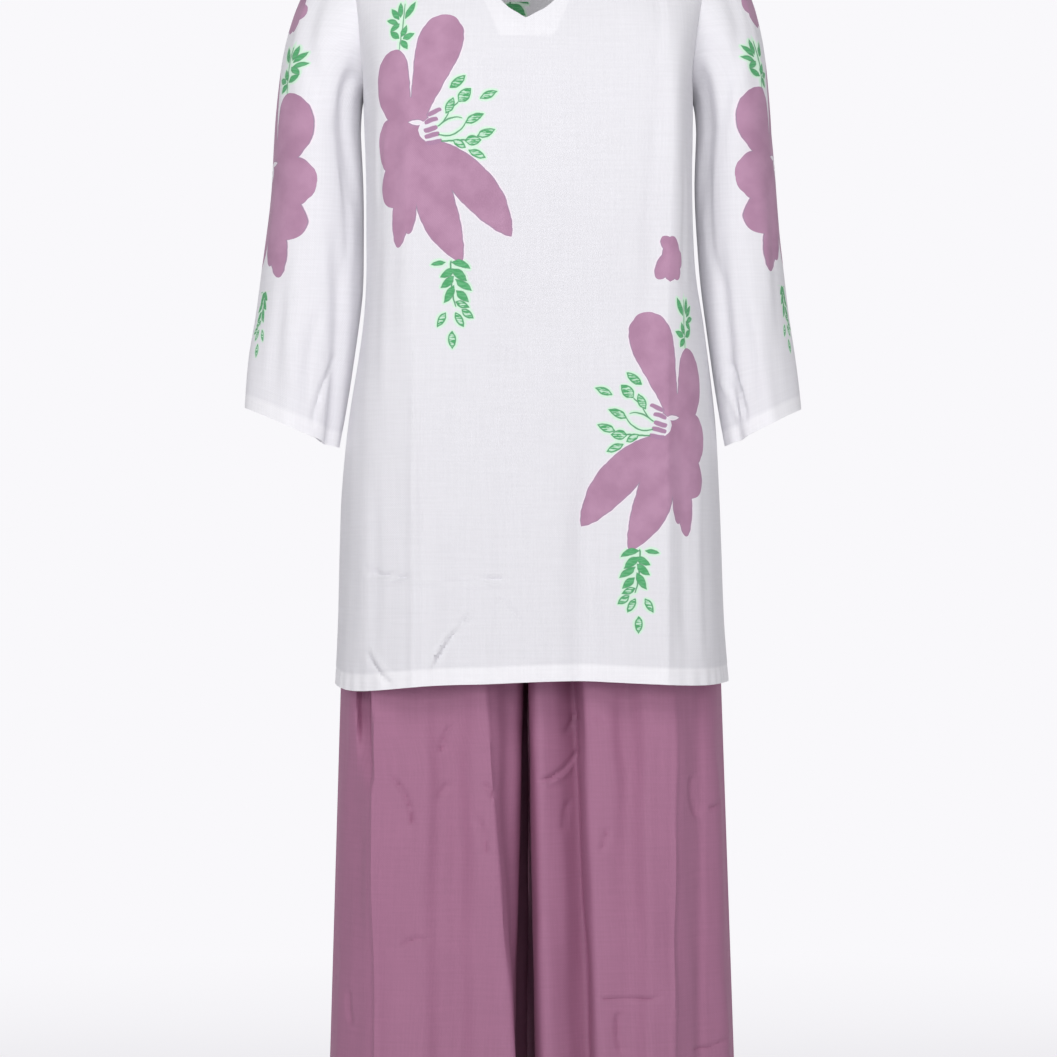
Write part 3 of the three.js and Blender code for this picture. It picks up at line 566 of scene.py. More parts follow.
def shoulder_level(x):
    """Shoulder seam from the front: it slopes from the high neck point to the armhole."""
    return SHOULDER_LEVEL * np.maximum(0, np.abs(x) - NECK_HALF) / (SHOULDER_HALF - NECK_HALF)


def armhole_point(is_front, side, share):
    """The armhole's seam from the armpit (0) to the shoulder point (1). side is -1 on the left."""
    share = np.asarray(share, float)
    armpit_x = read_curve(BODY, "level", "left" if side < 0 else "right", ARMPIT_LEVEL)
    arc = np.sin(math.pi * np.clip(share, 0, 1)).clip(0, 1)
    depth = -ARMHOLE_FRONT_DEPTH if is_front else ARMHOLE_BACK_DEPTH
    climb = 0.5 * share + 0.25 * (1 - np.cos(math.pi * share))
    x = mix(armpit_x, side * SHOULDER_HALF, share**ARMHOLE_LEAN) - side * ARMHOLE_DIP * arc
    return np.stack([x, depth * arc**ARMHOLE_ROUND, mix(ARMPIT_LEVEL, SHOULDER_LEVEL, climb)], -1)


def unit(vectors):
    """The same directions, one long."""
    return vectors / np.maximum(np.linalg.norm(vectors, axis=-1, keepdims=True), 1e-9)


def armhole_inward(point, side):
    """Across the armhole's wall, towards the hollow that body and sleeve share."""
    hollow = np.array([side * ARMHOLE_HOLLOW_X, 0, ARMHOLE_HOLLOW_LEVEL], float)
    return unit(hollow - point)


def armhole_outward(is_front, side, share):
    """Across the armhole's seam, from the body to the sleeve."""
    step = 0.01
    before = armhole_point(is_front, side, np.maximum(share - step, 0))
    after = armhole_point(is_front, side, np.minimum(share + step, 1))
    inward = armhole_inward(armhole_point(is_front, side, share), side)
    out = unit(np.cross(unit(after - before), inward))
    return np.where(out[..., :1] * side < 0, -out, out)


def front_neck_level(x):
    """The neckline in front: a soft V with a small notch at its tip."""
    reach = NECK_HALF + NECK_MIDDLE_X * np.sign(NECK_MIDDLE_X - x)
    across = np.abs(x - NECK_MIDDLE_X) / reach
    notch = NECK_NOTCH * np.maximum(0, 1 - across / NECK_NOTCH_SHARE)
    return -NECK_FRONT_DROP * (1 - across**NECK_V_POWER) - notch


def back_neck_level(x):
    """The shallow back neckline."""
    return -NECK_BACK_DROP * (1 - (x / NECK_HALF) ** 2)


def middle_point(is_front, low, top, over_neck, share, level):
    """A point between the lengthwise creases: flat below, running in to the shoulder line above."""
    neck = front_neck_level(top) if is_front else back_neck_level(top)
    top_level = np.where(over_neck, neck, shoulder_level(top))
    x = mix(low, top, share)
    z = np.where(share > 0, mix(ARMPIT_LEVEL, top_level, share), level)
    depth = read_curve(BODY, "level", "front" if is_front else "back", level)
    climb = np.clip((z - ARMPIT_LEVEL) / (shoulder_level(x) - ARMPIT_LEVEL), 0, 1)
    y = depth * (1 - climb**2) ** (FRONT_ROUND if is_front else BACK_ROUND)
    return np.stack(np.broadcast_arrays(x, -y if is_front else y, z), -1)


def off_seams(grid):
    """0 at the side seams, 1 where the cloth is well in front of them or behind them."""
    return np.clip(np.abs(grid[..., 1]) / FOLD_SEAM_FADE, 0, 1)


def keep_from_seams(grid, away):
    """Keeps the cloth on its own side of the side seams: in front (away is -1) or behind (1)."""
    grid[..., 1] = away * np.maximum(STITCHED_GAP / 2, away * grid[..., 1])


def bend(start, control, end, share):
    """A soft curve from start to end that leans towards control."""
    share = share[..., None]
    return start * (1 - share) ** 2 + control * 2 * (1 - share) * share + end * share**2


def body_grid(is_front, fineness):
    """The outside of the front or back: rows from hem to shoulder, columns from left to right."""
    away = -1 if is_front else 1
    crease_left = CREASE_LEFT if is_front else -BACK_CREASE
    crease_right = CREASE_RIGHT if is_front else BACK_CREASE
    middle = NECK_MIDDLE_X if is_front else 0
    fold = SHOULDER_CREASE_HALF
    zones = table(
        "side over_neck width low_from low_to top_from top_to",
        (-1, False, 150, crease_left, crease_left, -fold, -fold),
        (0, False, 58, crease_left, -NECK_COLUMN, -fold, -NECK_HALF),
        (0, True, 60, -NECK_COLUMN, middle, -NECK_HALF, middle),
        (0, True, 60, middle, NECK_COLUMN, middle, NECK_HALF),
        (0, False, 66, NECK_COLUMN, crease_right, NECK_HALF, fold),
        (1, False, 150, crease_right, crease_right, fold, fold),
    )
    armpit_rows = round((ARMPIT_LEVEL - HEM_LEVEL) / fineness)
    upper_rows = round(UPPER_LENGTH / fineness)
    lower = np.linspace(HEM_LEVEL, ARMPIT_LEVEL, armpit_rows + 1)
    level = np.concatenate([lower, np.full(upper_rows, ARMPIT_LEVEL)])[:, None]
    share = np.concatenate([0 * lower, np.linspace(0, 1, upper_rows + 1)[1:]])[:, None]
    parts = []
    for index, zone in enumerate(zones):
        steps = round(zone["width"] / fineness)
        across = np.linspace(0, 1, steps + 1)[None, 0 if index == 0 else 1:]
        low = mix(zone["low_from"], zone["low_to"], across)
        top = mix(zone["top_from"], zone["top_to"], across)
        points = middle_point(is_front, low, top, zone["over_neck"], share, level)
        side = zone["side"]
        if side:
            armhole = armhole_point(is_front, side, share)
            seam = np.where(share[..., None] > 0, armhole, side_seam_point(side, level))
            turn = read_curve(BODY, "level", "turn", level) if is_front else 1.0
            square = mix(turn, SHOULDER_TURN, share)
            reach = mix(seam[..., 0], (seam[..., 0] + points[..., 0]) / 2, share**2)
            height = (points[..., 2] + seam[..., 2]) / 2
            control = np.stack([reach, points[..., 1] * square, height], -1)
            points = bend(points, control, seam, 1 - across if side < 0 else across)
        parts.append(points)
    grid = np.concatenate(parts, axis=1)
    sway = read_curve(HEM_SWAY, "x", "up", grid[..., 0]) * (1 if is_front else BACK_SWAY)
    sway_fade = np.clip(1 - (level - HEM_LEVEL - HEM_TURN) / HEM_SWAY_FADE, 0, 1)
    grid[..., 2] += np.where(share > 0, 0, sway * sway_fade)
    folds = fold_rise(FRONT_FOLDS if is_front else BACK_FOLDS, grid[..., 0], grid[..., 2])
    grid[..., 1] += away * folds * np.where(share < 1, off_seams(grid), 0)
    keep_from_seams(grid, away)
    seam_share = share[armpit_rows:, 0]
    for column, side in ((0, -1), (-1, 1)):
        outward = armhole_outward(is_front, side, seam_share)
        grid[armpit_rows:, column] -= outward * SEAM_GAP / 2
    return grid, armpit_rows, seam_share


def side_seam_point(side, level):
    """The kurta's side seam at a level."""
    x = read_curve(BODY, "level", "left" if side < 0 else "right", level)
    return np.stack(np.broadcast_arrays(x, 0.0, level), -1)


def grid_normals(grid, is_round):
    """Directions straight out of a grid whose columns run anticlockwise as seen from above."""
    if is_round:
        across = np.roll(grid, -1, 1) - np.roll(grid, 1, 1)
    else:
        across = np.gradient(grid, axis=1)
    return unit(np.cross(across, np.gradient(grid, axis=0)))


def cut_place(grid, zero_column, zero_row, zero_level):
    """Where each point lies on the flat cloth: across from one column and up from one row."""
    step_across = np.linalg.norm(np.diff(grid[..., :2], axis=1), axis=-1)
    across = np.concatenate([np.zeros((len(grid), 1)), np.cumsum(step_across, 1)], 1)
    across -= across[:, zero_column:zero_column + 1]
    step_up = np.linalg.norm(np.diff(grid, axis=0), axis=-1)
    up = np.concatenate([np.zeros((1, grid.shape[1])), np.cumsum(step_up, 0)], 0)
    up += zero_level - up[zero_row:zero_row + 1]
    return across, up


def shell(name, outer, inner, is_round, across, up, doubled):
    """One closed piece of cloth between an outer and an inner grid, made in metres. Its points keep
    their place on the flat cloth (cut), and how doubled the cloth looks, from 0 to 1."""
    rows, columns = outer.shape[:2]
    count = rows * columns
    at = np.arange(count).reshape(rows, columns)
    if is_round:
        at = np.concatenate([at, at[:, :1]], 1)
    a, b, c, d = at[:-1, :-1], at[:-1, 1:], at[1:, 1:], at[1:, :-1]
    faces = [np.stack([a, b, c, d], -1).reshape(-1, 4)]
    faces.append(np.stack([a, d, c, b], -1).reshape(-1, 4) + count)
    low, high = at[0], at[-1]
    faces.append(np.stack([low[:-1], low[:-1] + count, low[1:] + count, low[1:]], -1))
    faces.append(np.stack([high[:-1], high[1:], high[1:] + count, high[:-1] + count], -1))
    if not is_round:
        left, right = at[:, 0], at[:, -1]
        faces.append(np.stack([left[:-1], left[1:], left[1:] + count, left[:-1] + count], -1))
        faces.append(np.stack([right[:-1], right[:-1] + count, right[1:] + count, right[1:]], -1))
    points = np.concatenate([outer.reshape(-1, 3), inner.reshape(-1, 3)]) / 1000
    mesh = bpy.data.meshes.new(name)
    mesh.from_pydata(points.tolist(), [], np.concatenate(faces).tolist())
    flat_place = np.stack([across, up, np.zeros_like(up)], -1)
    for fact, values in (("cut", flat_place), ("doubled", doubled)):
        both = np.concatenate([values.reshape(count, -1)] * 2)
        kind = "FLOAT_VECTOR" if both.shape[1] == 3 else "FLOAT"
        layer = mesh.attributes.new(fact, kind, "POINT")
        layer.data.foreach_set("vector" if both.shape[1] == 3 else "value", both.ravel())
    mesh.shade_smooth()
    mesh.set_sharp_from_angle(angle=math.radians(SHARP_ANGLE))
    mesh.update()
    piece = bpy.data.objects.new(name, mesh)
    bpy.context.collection.objects.link(piece)
    return piece


def hem_share(up, hem_level, turn):
    """1 on the turned-up hem, falling off just above it."""
    return 1 - smooth_step((up - hem_level - turn) / HEM_STEP)


def stitch_dent(up, stitch_level):
    """The shallow groove that a line of stitches pulls into the cloth."""
    return -STITCH_DENT * np.exp(-(((up - stitch_level) / STITCH_REACH) ** 2))


def sharp_edges(edges, x, up):
    """How far the cloth falls away past its sharp creases."""
    rise = np.zeros(x.shape)
    for edge in edges:
        down = np.clip((LEG_TABLE_TOP - up) / (LEG_TABLE_TOP - LEG_HEM_LEVEL), 0, 1)
        past = np.maximum(0, edge["side"] * (x - mix(edge["x_top"], edge["x_foot"], down)))
        share = smooth_step((edge["from_level"] - up) / (edge["from_level"] - edge["full_level"]))
        back = np.maximum(0, 1 - past / edge["width"])
        rise -= edge["fall"] * (1 - np.exp(-past / edge["reach"])) * back * share
    return rise


def hem_pucker(across, above):
    """The faint unevenness of a narrow machine-sewn hem."""
    turn = across / PUCKER_LENGTH + PUCKER_DRIFT * np.sin(across / PUCKER_DRIFT_LENGTH)
    return HEM_PUCKER * np.sin(2 * math.pi * turn) * np.exp(-((above / PUCKER_REACH) ** 2))


def body_piece(name, is_front, fineness):
    """The kurta's front or back."""
    away = -1 if is_front else 1
    grid, armpit_row, seam_share = body_grid(is_front, fineness)
    zero = int(np.argmin(np.abs(grid[armpit_row // 2, :, 0])))
    across, up = cut_place(grid, zero, armpit_row, ARMPIT_LEVEL)
    up[:armpit_row] = grid[:armpit_row, :, 2]
    off_seam = off_seams(grid)
    from_neck = np.minimum(1, (up[-1:] - up) / NECK_EDGE_FADE)
    creases = crease_rise(FRONT_CREASES if is_front else BACK_CREASES, across, up, KURTA_CREASES)
    rise = (creases + slow_waves(across, up)) * off_seam * from_neck
    if is_front:
        rise += sharp_edges(FRONT_EDGES, grid[..., 0], up) * off_seam
    sway = grid[:1, :, 2] - HEM_LEVEL
    rise += stitch_dent(up, HEM_LEVEL + HEM_TURN + sway)
    rise += hem_pucker(across, up - HEM_LEVEL) * off_seam
    if not is_front:
        grid, rise, across, up = (values[:, ::-1] for values in (grid, rise, across, up))
    normals = grid_normals(grid, False)
    outer = grid + normals * rise[..., None]
    keep_from_seams(outer, away)
    hem = hem_share(up, grid[:1, :, 2], HEM_TURN)
    inward = -normals
    for column in (0, -1):
        inward[:armpit_row, column, 1] = 0
        side = np.sign(grid[0, column, 0])
        seam = armhole_point(is_front, side, seam_share)
        inward[armpit_row:, column] = armhole_inward(seam, side)
    inner = outer + unit(inward) * mix(CLOTH, HEM_CLOTH, hem)[..., None]
    keep_from_seams(inner, away)
    doubled = np.maximum(hem, FACING_SHOWS * facing_patch(outer)) if is_front else hem
    return shell(name, outer, inner, False, across, up, doubled), outer, inner


def facing_patch(points):
    """1 where the facing lies behind the front, so that the cloth there looks denser."""
    x, z = points[..., 0], points[..., 2]
    half = FACING_HALF_LOW + FACING_SPREAD * (z - FACING_BOTTOM)
    from_side = half - np.abs(x - NECK_MIDDLE_X - FACING_SHIFT)
    return smooth_step(from_side / FACING_SOFT) * smooth_step((z - FACING_BOTTOM) / FACING_SOFT)


def facing_piece(name, outer, inner, fineness):
    """The facing: the front's own points along the neckline, moved in behind its cloth."""
    kept = np.flatnonzero(np.abs(inner[-1, :, 0]) < NECK_HALF - 1)
    wall = unit(inner - outer)
    part = slice(-round(FACING_LENGTH / fineness), None), slice(kept[0], kept[-1] + 1)
    near = (inner + wall * SEAM_GAP)[part]
    far = (inner + wall * (SEAM_GAP + CLOTH))[part]
    across, up = cut_place(near, near.shape[1] // 2, near.shape[0] - 1, 0)
    return shell(name, near, far, False, across, up, np.ones_like(up))


def sleeve_piece(name, side, fineness):
    """One sleeve: rings down the arm, and a cap that runs in to the armhole."""
    sections = SLEEVE_LEFT if side < 0 else SLEEVE_RIGHT
    folds = SLEEVE_FOLDS_LEFT if side < 0 else SLEEVE_FOLDS_RIGHT
    creases = SLEEVE_CREASES_LEFT if side < 0 else SLEEVE_CREASES_RIGHT
    count = 2 * round(SLEEVE_HALF_GIRTH / fineness)
    turn = np.arange(count) / count
    first_half = turn < 0.5
    is_front = first_half if side > 0 else ~first_half
    share = np.where(first_half, 2 * turn, 2 - 2 * turn)
    from_outer = math.pi * (1 - share)[None]
    front = np.where(is_front, 1, -1)[None]
    steps = round((CAP_LEVEL - CUFF_LEVEL) / fineness)
    levels = np.arange(CUFF_LEVEL, CAP_LEVEL + 1, (CAP_LEVEL - CUFF_LEVEL) / steps)
    level = levels[:, None]
    outer, inner, deep, forward = (
        read_curve(sections, "level", key, level) for key in SLEEVE_SECTION.split()[1:]
    )
    swell = 1 + fold_rise(folds, np.degrees(from_outer) * front, level) / deep
    tilt = smooth_step((CUFF_TILT_FROM - level) / (CUFF_TILT_FROM - CUFF_LEVEL))
    rise = (CUFF_RISE_LEFT if side < 0 else CUFF_RISE_RIGHT) * tilt
    x = (outer + inner) / 2 + (outer - inner) / 2 * np.cos(from_outer) * swell
    y = -front * deep * np.sin(from_outer).clip(0, 1) ** SLEEVE_EDGE * swell - forward
    arm = np.stack([x, y, level + rise * np.cos(from_outer)], -1)
    seam, outward = (
        np.where(is_front[:, None], place(True, side, share), place(False, side, share))
        for place in (armhole_point, armhole_outward)
    )
    outward[(share <= 0) | (share >= 1), 1] = 0
    top = (seam + unit(outward) * SEAM_GAP / 2)[None]
    ring = arm[-1:]
    cap_rows = round(UPPER_LENGTH / fineness)
    climb = np.linspace(0, 1, cap_rows + 1)[1:, None]
    climb = np.broadcast_to(climb, (cap_rows, count))
    cap = bend(ring, mix(top, ring, np.array(CAP_PULL)), top, climb)
    grid = np.concatenate([arm, cap])
    across, up = cut_place(grid, count // 2, len(levels) - 1, CAP_LEVEL)
    up[: len(levels)] = level
    wrap = front[0] * np.abs(across)
    from_edge = np.clip((up[-1:] - up) / CAP_EDGE_FADE, 0, 1)
    from_inner = np.clip(share / INNER_EDGE_FADE, 0, 1)[None]
    height = crease_rise(creases, wrap, up, SLEEVE_CREASES) + slow_waves(wrap, up)
    height = height * from_edge * from_inner + stitch_dent(up, CUFF_LEVEL + CUFF_TURN)
    normals = grid_normals(grid, True)
    outside = grid + normals * height[..., None]
    hem = hem_share(up, CUFF_LEVEL, CUFF_TURN)
    inward = -normals
    inward[-1] = armhole_inward(seam, side)
    inside = outside + inward * mix(CLOTH, HEM_CLOTH, hem)[..., None]
    return shell(name, outside, inside, True, wrap, up, hem)


def leg_points(sections, away, shares, level):
    """A leg's section as it hangs, at shares across the panel, for each level."""
    down = np.minimum(1, (LEG_TABLE_TOP - level) / (LEG_TABLE_TOP - LEG_TABLE_FOOT))
    flare = 1 + LEG_FLARE * np.maximum(0, LEG_TABLE_FOOT - level) / 1000
    places = np.linspace(0, 1, len(sections))
    pull = []
    for place in places:
        rows = [{"place": p, "value": float(p == place)} for p in places]
        pull.append(read_curve(rows, "place", "value", shares))
    pull = np.stack(pull)
    x_top, x_foot, y_top, y_foot = (
        np.array([row[key] for row in sections]) for key in SECTION.split()
    )
    x = TROUSER_MIDDLE + (mix(x_top, x_foot, down) - TROUSER_MIDDLE) * flare
    y = mix(y_top, y_foot, down) * flare
    return np.stack(np.broadcast_arrays(x @ pull, away * (y @ pull), level), -1)


def leg_piece(name, sections, side, is_front, creases, fineness):
    """One panel of the trousers: a leg below the crotch that runs into the hips above it."""
    side_first = is_front == (side < 0)
    away = -1 if is_front else 1
    rise_level = FRONT_RISE_LEVEL if is_front else BACK_RISE_LEVEL
    leg_rows = round((CROTCH_LEVEL - LEG_HEM_LEVEL) / fineness)
    crotch_climb = 1 - np.cos(np.linspace(0, math.pi / 2, CROTCH_ROWS))
    levels = np.concatenate([
        np.linspace(LEG_HEM_LEVEL, CROTCH_LEVEL, leg_rows, endpoint=False),
        mix(CROTCH_LEVEL, BACK_RISE_LEVEL, crotch_climb),
        np.linspace(BACK_RISE_LEVEL, WAIST_LEVEL, round(HIP_LENGTH / fineness))[1:],
    ])
    level = levels[:, None]
    shares = np.linspace(0, 1, round(PANEL_WIDTH / fineness) + 1)
    from_side = (shares if side_first else 1 - shares)[None]
    half = read_curve(HIPS, "level", "half", level) * side - TROUSER_MIDDLE
    depth = read_curve(HIPS, "level", "front" if is_front else "back", level)
    angle = math.pi / 2 * from_side
    x = TROUSER_MIDDLE + half * np.cos(angle)
    hip = np.stack(np.broadcast_arrays(x, away * depth * np.sin(angle), level), -1)
    leg = leg_points(sections, away, shares, level)
    climb = np.clip((level - CROTCH_LEVEL) / (rise_level - CROTCH_LEVEL), 0, 1)
    outer_hip = smooth_step((level - FOLDS_FULL_LEVEL) / (rise_level - FOLDS_FULL_LEVEL))
    crotch_curve = np.sqrt(1 - (1 - climb) ** 2)
    hip_share = mix(outer_hip, crotch_curve, from_side**CROTCH_REACH)[..., None]
    grid = mix(leg, hip, hip_share)
    if is_front:
        folds = [fold for fold in FRONT_LEG_FOLDS if fold["side"] == side]
        below_rise = smooth_step((CROTCH_LEVEL - level) / LEG_FOLDS_FADE)
        grid[..., 1] += away * fold_rise(folds, grid[..., 0], level) * below_rise
        edges = [edge for edge in LEG_EDGES if edge["leg"] == side]
        grid[..., 1] += away * sharp_edges(edges, grid[..., 0], level) * off_seams(grid)
    across, _ = cut_place(grid, 0 if side_first else len(shares) - 1, 0, LEG_HEM_LEVEL)
    up = np.broadcast_to(level, across.shape)
    below_hips = smooth_step((FRONT_RISE_LEVEL - up) / HIP_CREASES_FADE)
    waves = LEG_WAVES * np.clip((1 - from_side) / INNER_LEG_FADE, INNER_LEG_WAVES, 1)
    waves = waves * slow_waves(across + side * LEG_WAVES_SHIFT, up)
    rise = crease_rise(creases, grid[..., 0], up, LEG_CREASES) + waves
    rise = rise * off_seams(grid) * below_hips + stitch_dent(up, LEG_HEM_LEVEL + LEG_HEM_TURN)
    normals = grid_normals(grid, False)
    outer = grid + normals * rise[..., None]
    keep_from_seams(outer, away)
    above = levels >= CROTCH_LEVEL
    from_middle = side * (outer[above, :, 0] - TROUSER_MIDDLE)
    outer[above, :, 0] = TROUSER_MIDDLE + side * np.maximum(STITCHED_GAP / 2, from_middle)
    inward = -normals
    side_column, inside_column = (0, -1) if side_first else (-1, 0)
    inward[:, side_column, 1] = 0
    inward[~above, inside_column, 1] = 0
    inward[above, inside_column, 0] = 0
    hem = hem_share(up, LEG_HEM_LEVEL, LEG_HEM_TURN)
    inner = outer + unit(inward) * mix(CLOTH, HEM_CLOTH, hem)[..., None]
    return shell(name, outer, inner, False, across * side, up, hem)


def waistband_piece(name):
    """The elastic casing at the waist, softly gathered, under the kurta."""
    turn = np.arange(WAIST_COLUMNS)[None] / WAIST_COLUMNS * 2 * math.pi
    up = np.linspace(0, 1, WAIST_ROWS)[:, None]
    half, front, back = (
        read_curve(HIPS, "level", key, WAIST_LEVEL) for key in ("half", "front", "back")
    )
    depth = np.where(np.sin(turn) < 0, front, back)
    gather = np.sin(turn * GATHERS + GATHER_DRIFT * np.sin(turn * GATHER_DRIFTS))
    swell = 1 + GATHER_DEPTH * np.sin(up * math.pi) * gather
    level = WAIST_LEVEL + mix(SEAM_GAP, WAISTBAND_HEIGHT, up)
    x, y = half * np.cos(turn) * swell, depth * np.sin(turn) * swell
    outer = np.stack(np.broadcast_arrays(x, y, level), -1)
    inner = outer - grid_normals(outer, True) * HEM_CLOTH
    across, up = cut_place(outer, WAIST_COLUMNS // 2, 0, WAIST_LEVEL)
    return shell(name, outer, inner, True, across, up, np.ones_like(up))


def linear(hex_colour):
    """An sRGB hex colour as the linear red, green, blue and alpha that a shader takes."""
    parts = [int(hex_colour[i:i + 2], 16) / 255 for i in (1, 3, 5)]
    return [p / 12.92 if p <= 0.04045 else ((p + 0.055) / 1.055) ** 2.4 for p in parts] + [1.0]


def add(tree, kind, inputs=None, out=0, **settings):
    """Adds one node with its settings. An input is a number, a colour or a link from another node."""
    node = tree.nodes.new(kind if kind.startswith("Node") else "ShaderNode" + kind)
    for name, value in settings.items():
        setattr(node, name, value)
    for name, value in (inputs or {}).items():
        if isinstance(value, bpy.types.NodeSocket):
            tree.links.new(value, node.inputs[name])
        else:
            node.inputs[name].default_value = value
    return node.outputs[out] if len(node.outputs) else None


# Settings that many nodes share
SOFTLY = {"interpolation_type": "SMOOTHSTEP"}
COLOURS = {"data_type": "RGBA", "out": 2}


def new_group(name, takes, gives):
    """An empty node group with named inputs and outputs."""
    tree = bpy.data.node_groups.new(name, "ShaderNodeTree")
    for way, sockets in (("INPUT", takes), ("OUTPUT", gives)):
        for socket, kind in sockets.items():
            tree.interface.new_socket(socket, in_out=way, socket_type="NodeSocket" + kind)
    return tree


# Outlines of the printed blades: half the width, as a share of the most, from base (0) to tip (1)
OUTLINES = {
    "tall": (
        (0, 0.36), (0.2, 0.45), (0.37, 0.62), (0.56, 0.85),
        (0.75, 1), (0.88, 0.88), (0.965, 0.5), (1, 0),
    ),
    "lobe": ((0, 0.40), (0.15, 0.72), (0.45, 1), (0.75, 0.9), (0.9, 0.62), (0.97, 0.36), (1, 0)),
    "pointed": ((0, 0.42), (0.2, 0.84), (0.42, 1), (0.62, 0.96), (0.82, 0.66), (0.94, 0.32), (1, 0)),
    "leaf": ((0, 0), (0.12, 0.42), (0.42, 1), (0.68, 0.82), (0.88, 0.36), (1, 0)),
    "bar": ((0, 0.2), (0.08, 0.85), (0.5, 1), (0.92, 0.8), (1, 0.1)),
    "thread": ((0, 0.7), (0.05, 1), (0.95, 0.8), (1, 0.3)),
}
# How steeply a blade ends past its base and its tip
END_FALL = 4.0


def blade_group(outline):
    """How far inside a blade a place is, in mm. The place is in shares of its length and half width."""
    takes = {"At": "Vector", "Bow": "Float", "Half": "Float"}
    tree = new_group("blade " + outline, takes, {"Inside": "Float"})
    at = add(tree, "NodeGroupInput")
    bow, half = at.node.outputs["Bow"], at.node.outputs["Half"]
    along = add(tree, "SeparateXYZ", {0: at})
    aside = along.node.outputs["Y"]
    width = add(tree, "FloatCurve", {"Value": along})
    curve = width.node.mapping
    curve.use_clip = False
    curve.extend = "EXTRAPOLATED"
    base, *between, tip = OUTLINES[outline]
    curve.curves[0].points[0].location = base
    curve.curves[0].points[1].location = tip
    for place in between:
        curve.curves[0].points.new(*place)
    curve.update()
    rest = add(tree, "Math", {0: 1.0, 1: along}, operation="SUBTRACT")
    hump = add(tree, "Math", {0: along, 1: rest}, operation="MULTIPLY")
    bent = add(tree, "Math", {0: hump, 1: bow, 2: aside}, operation="MULTIPLY_ADD")
    off = add(tree, "Math", {0: bent}, operation="ABSOLUTE")
    inside = add(tree, "Math", {0: width, 1: off}, operation="SUBTRACT")
    past_end = add(tree, "Math", {0: hump, 1: 0.0}, operation="MINIMUM")
    held = add(tree, "Math", {0: past_end, 1: END_FALL, 2: inside}, operation="MULTIPLY_ADD")
    measured = add(tree, "Math", {0: held, 1: half}, operation="MULTIPLY")
    add(tree, "NodeGroupOutput", {"Inside": measured})
    return tree


blades = {outline: blade_group(outline) for outline in OUTLINES}

# The flower, in mm from its heart: where each blade starts, its length and width, the way it points in
# degrees, and how far its middle bows to the left of that way
PETALS = table(
    BLADE,
    ("tall", -5, -8, 122, 44, 73, 0),
    ("lobe", -16.5, -2, 75.5, 37, 94, 6),
    ("lobe", 2, -19, 48, 54, 182, 0),
    ("lobe", -12, -30, 53, 34, 248, 0),
    ("lobe", -10, -30, 89, 21, 263.5, 0),
    ("lobe", -8, -30, 76, 17, 270, 0),
    ("pointed", 10, -20, 118, 38, 286.4, -8),
    ("pointed", 10, -20, 120, 38.5, 312.8, 6.5),
    ("lobe", -8, 24, 74, 42, 274, 0),
    ("lobe", 4, -22, 44, 36, 298, 0),
)
# The bare cloth round the anthers, cut out of the petals
CUP = table(
    BLADE,
    ("lobe", 3, -6, 24, 25, 0, 0),
    ("leaf", 8, 1.5, 16, 5, 178, 0),
)
ANTHERS = table(
    BLADE,
    ("bar", 10.5, 8.5, 14.5, 4.6, 26, 0.5),
    ("bar", 7.5, 1.2, 13.5, 4.8, 20, 0.5),
    ("bar", 7, -6.4, 13.5, 4.8, 17, -0.5),
    ("bar", 7.6, -12.8, 15, 4.8, 14, 0.5),
    ("bar", 9, -18.2, 16, 4.4, 11, -0.5),
)
BUDS = table(
    BLADE,
    ("leaf", 32, 35, 20, 8.4, 40, 0),
    ("leaf", 40, 22, 18, 11, 47, 0),
    ("leaf", 28, 10, 18, 8.2, 66, -0.6),
    ("leaf", 61, 25, 19, 7.4, 22, 0.5),
    ("leaf", 47, 1, 20.5, 8.4, 28, 0.6),
    ("leaf", 58, -12, 19.5, 8, 21, 0),
    ("leaf", 46, -16, 17, 9.6, 3, 0),
    ("leaf", 35, -15, 15, 7.4, 328, 0),
    ("leaf", 50, -25, 18.5, 7.6, 336, 0),
    ("leaf", 37, -171, 15, 7, 338, 0),
    ("leaf", 28, -181, 17, 7.2, 240, 0),
    ("leaf", 37, -181, 17, 7.2, 300, 0),
    ("leaf", 43, -178, 15, 7.2, 322, 0),
    ("leaf", 34, -199, 18, 8, 270, 0),
)
LEAVES = table(
    BLADE,
    ("thread", 20, -2, 19, 1.3, 52, -1.5),
    ("thread", 23, 0, 22, 1.3, 16, 3),
    ("thread", 21, -10, 30, 1.4, 26, -6),
    ("thread", 24, -16, 30, 1.5, 1, 0),
    ("thread", 28, 13, 15, 1.4, 38, -1),
    ("thread", -16, 122, 50, 1, 268, 1),
    ("leaf", -14, 106, 20, 6.4, 64, 0),
    ("leaf", -19, 107, 17, 5.6, 96, 0),
    ("leaf", -20, 105, 15, 6, 128, 0),
    ("leaf", -20, 101, 13, 6, 166, 0),
    ("leaf", -19, 101, 13, 6, 226, 0),
    ("leaf", -18, 84, 13, 6.4, 140, 0),
    ("leaf", -16, 86, 14, 5.8, 72, 0),
    ("leaf", -15, 84, 13, 6.4, 28, 0),
    ("leaf", -16, 83, 11, 6.4, 304, 0),
    ("thread", 33, -132, 44, 1.6, 276, -2),
    ("leaf", 33, -133, 20, 7.4, 342, 2),
    ("leaf", 36, -139, 16, 7.4, 212, 0.6),
    ("leaf", 33, -139, 20, 8, 322, 0.6),
    ("leaf", 36, -146, 18, 7.6, 222, 0.6),
    ("leaf", 37, -149, 20, 7.4, 325, 0),
    ("leaf", 36, -155, 20, 8, 240, 0.6),
    ("leaf", 38, -160, 17, 7.6, 318, 0),
    ("leaf", 28, -133, 15, 5, 190, -0.6),
)
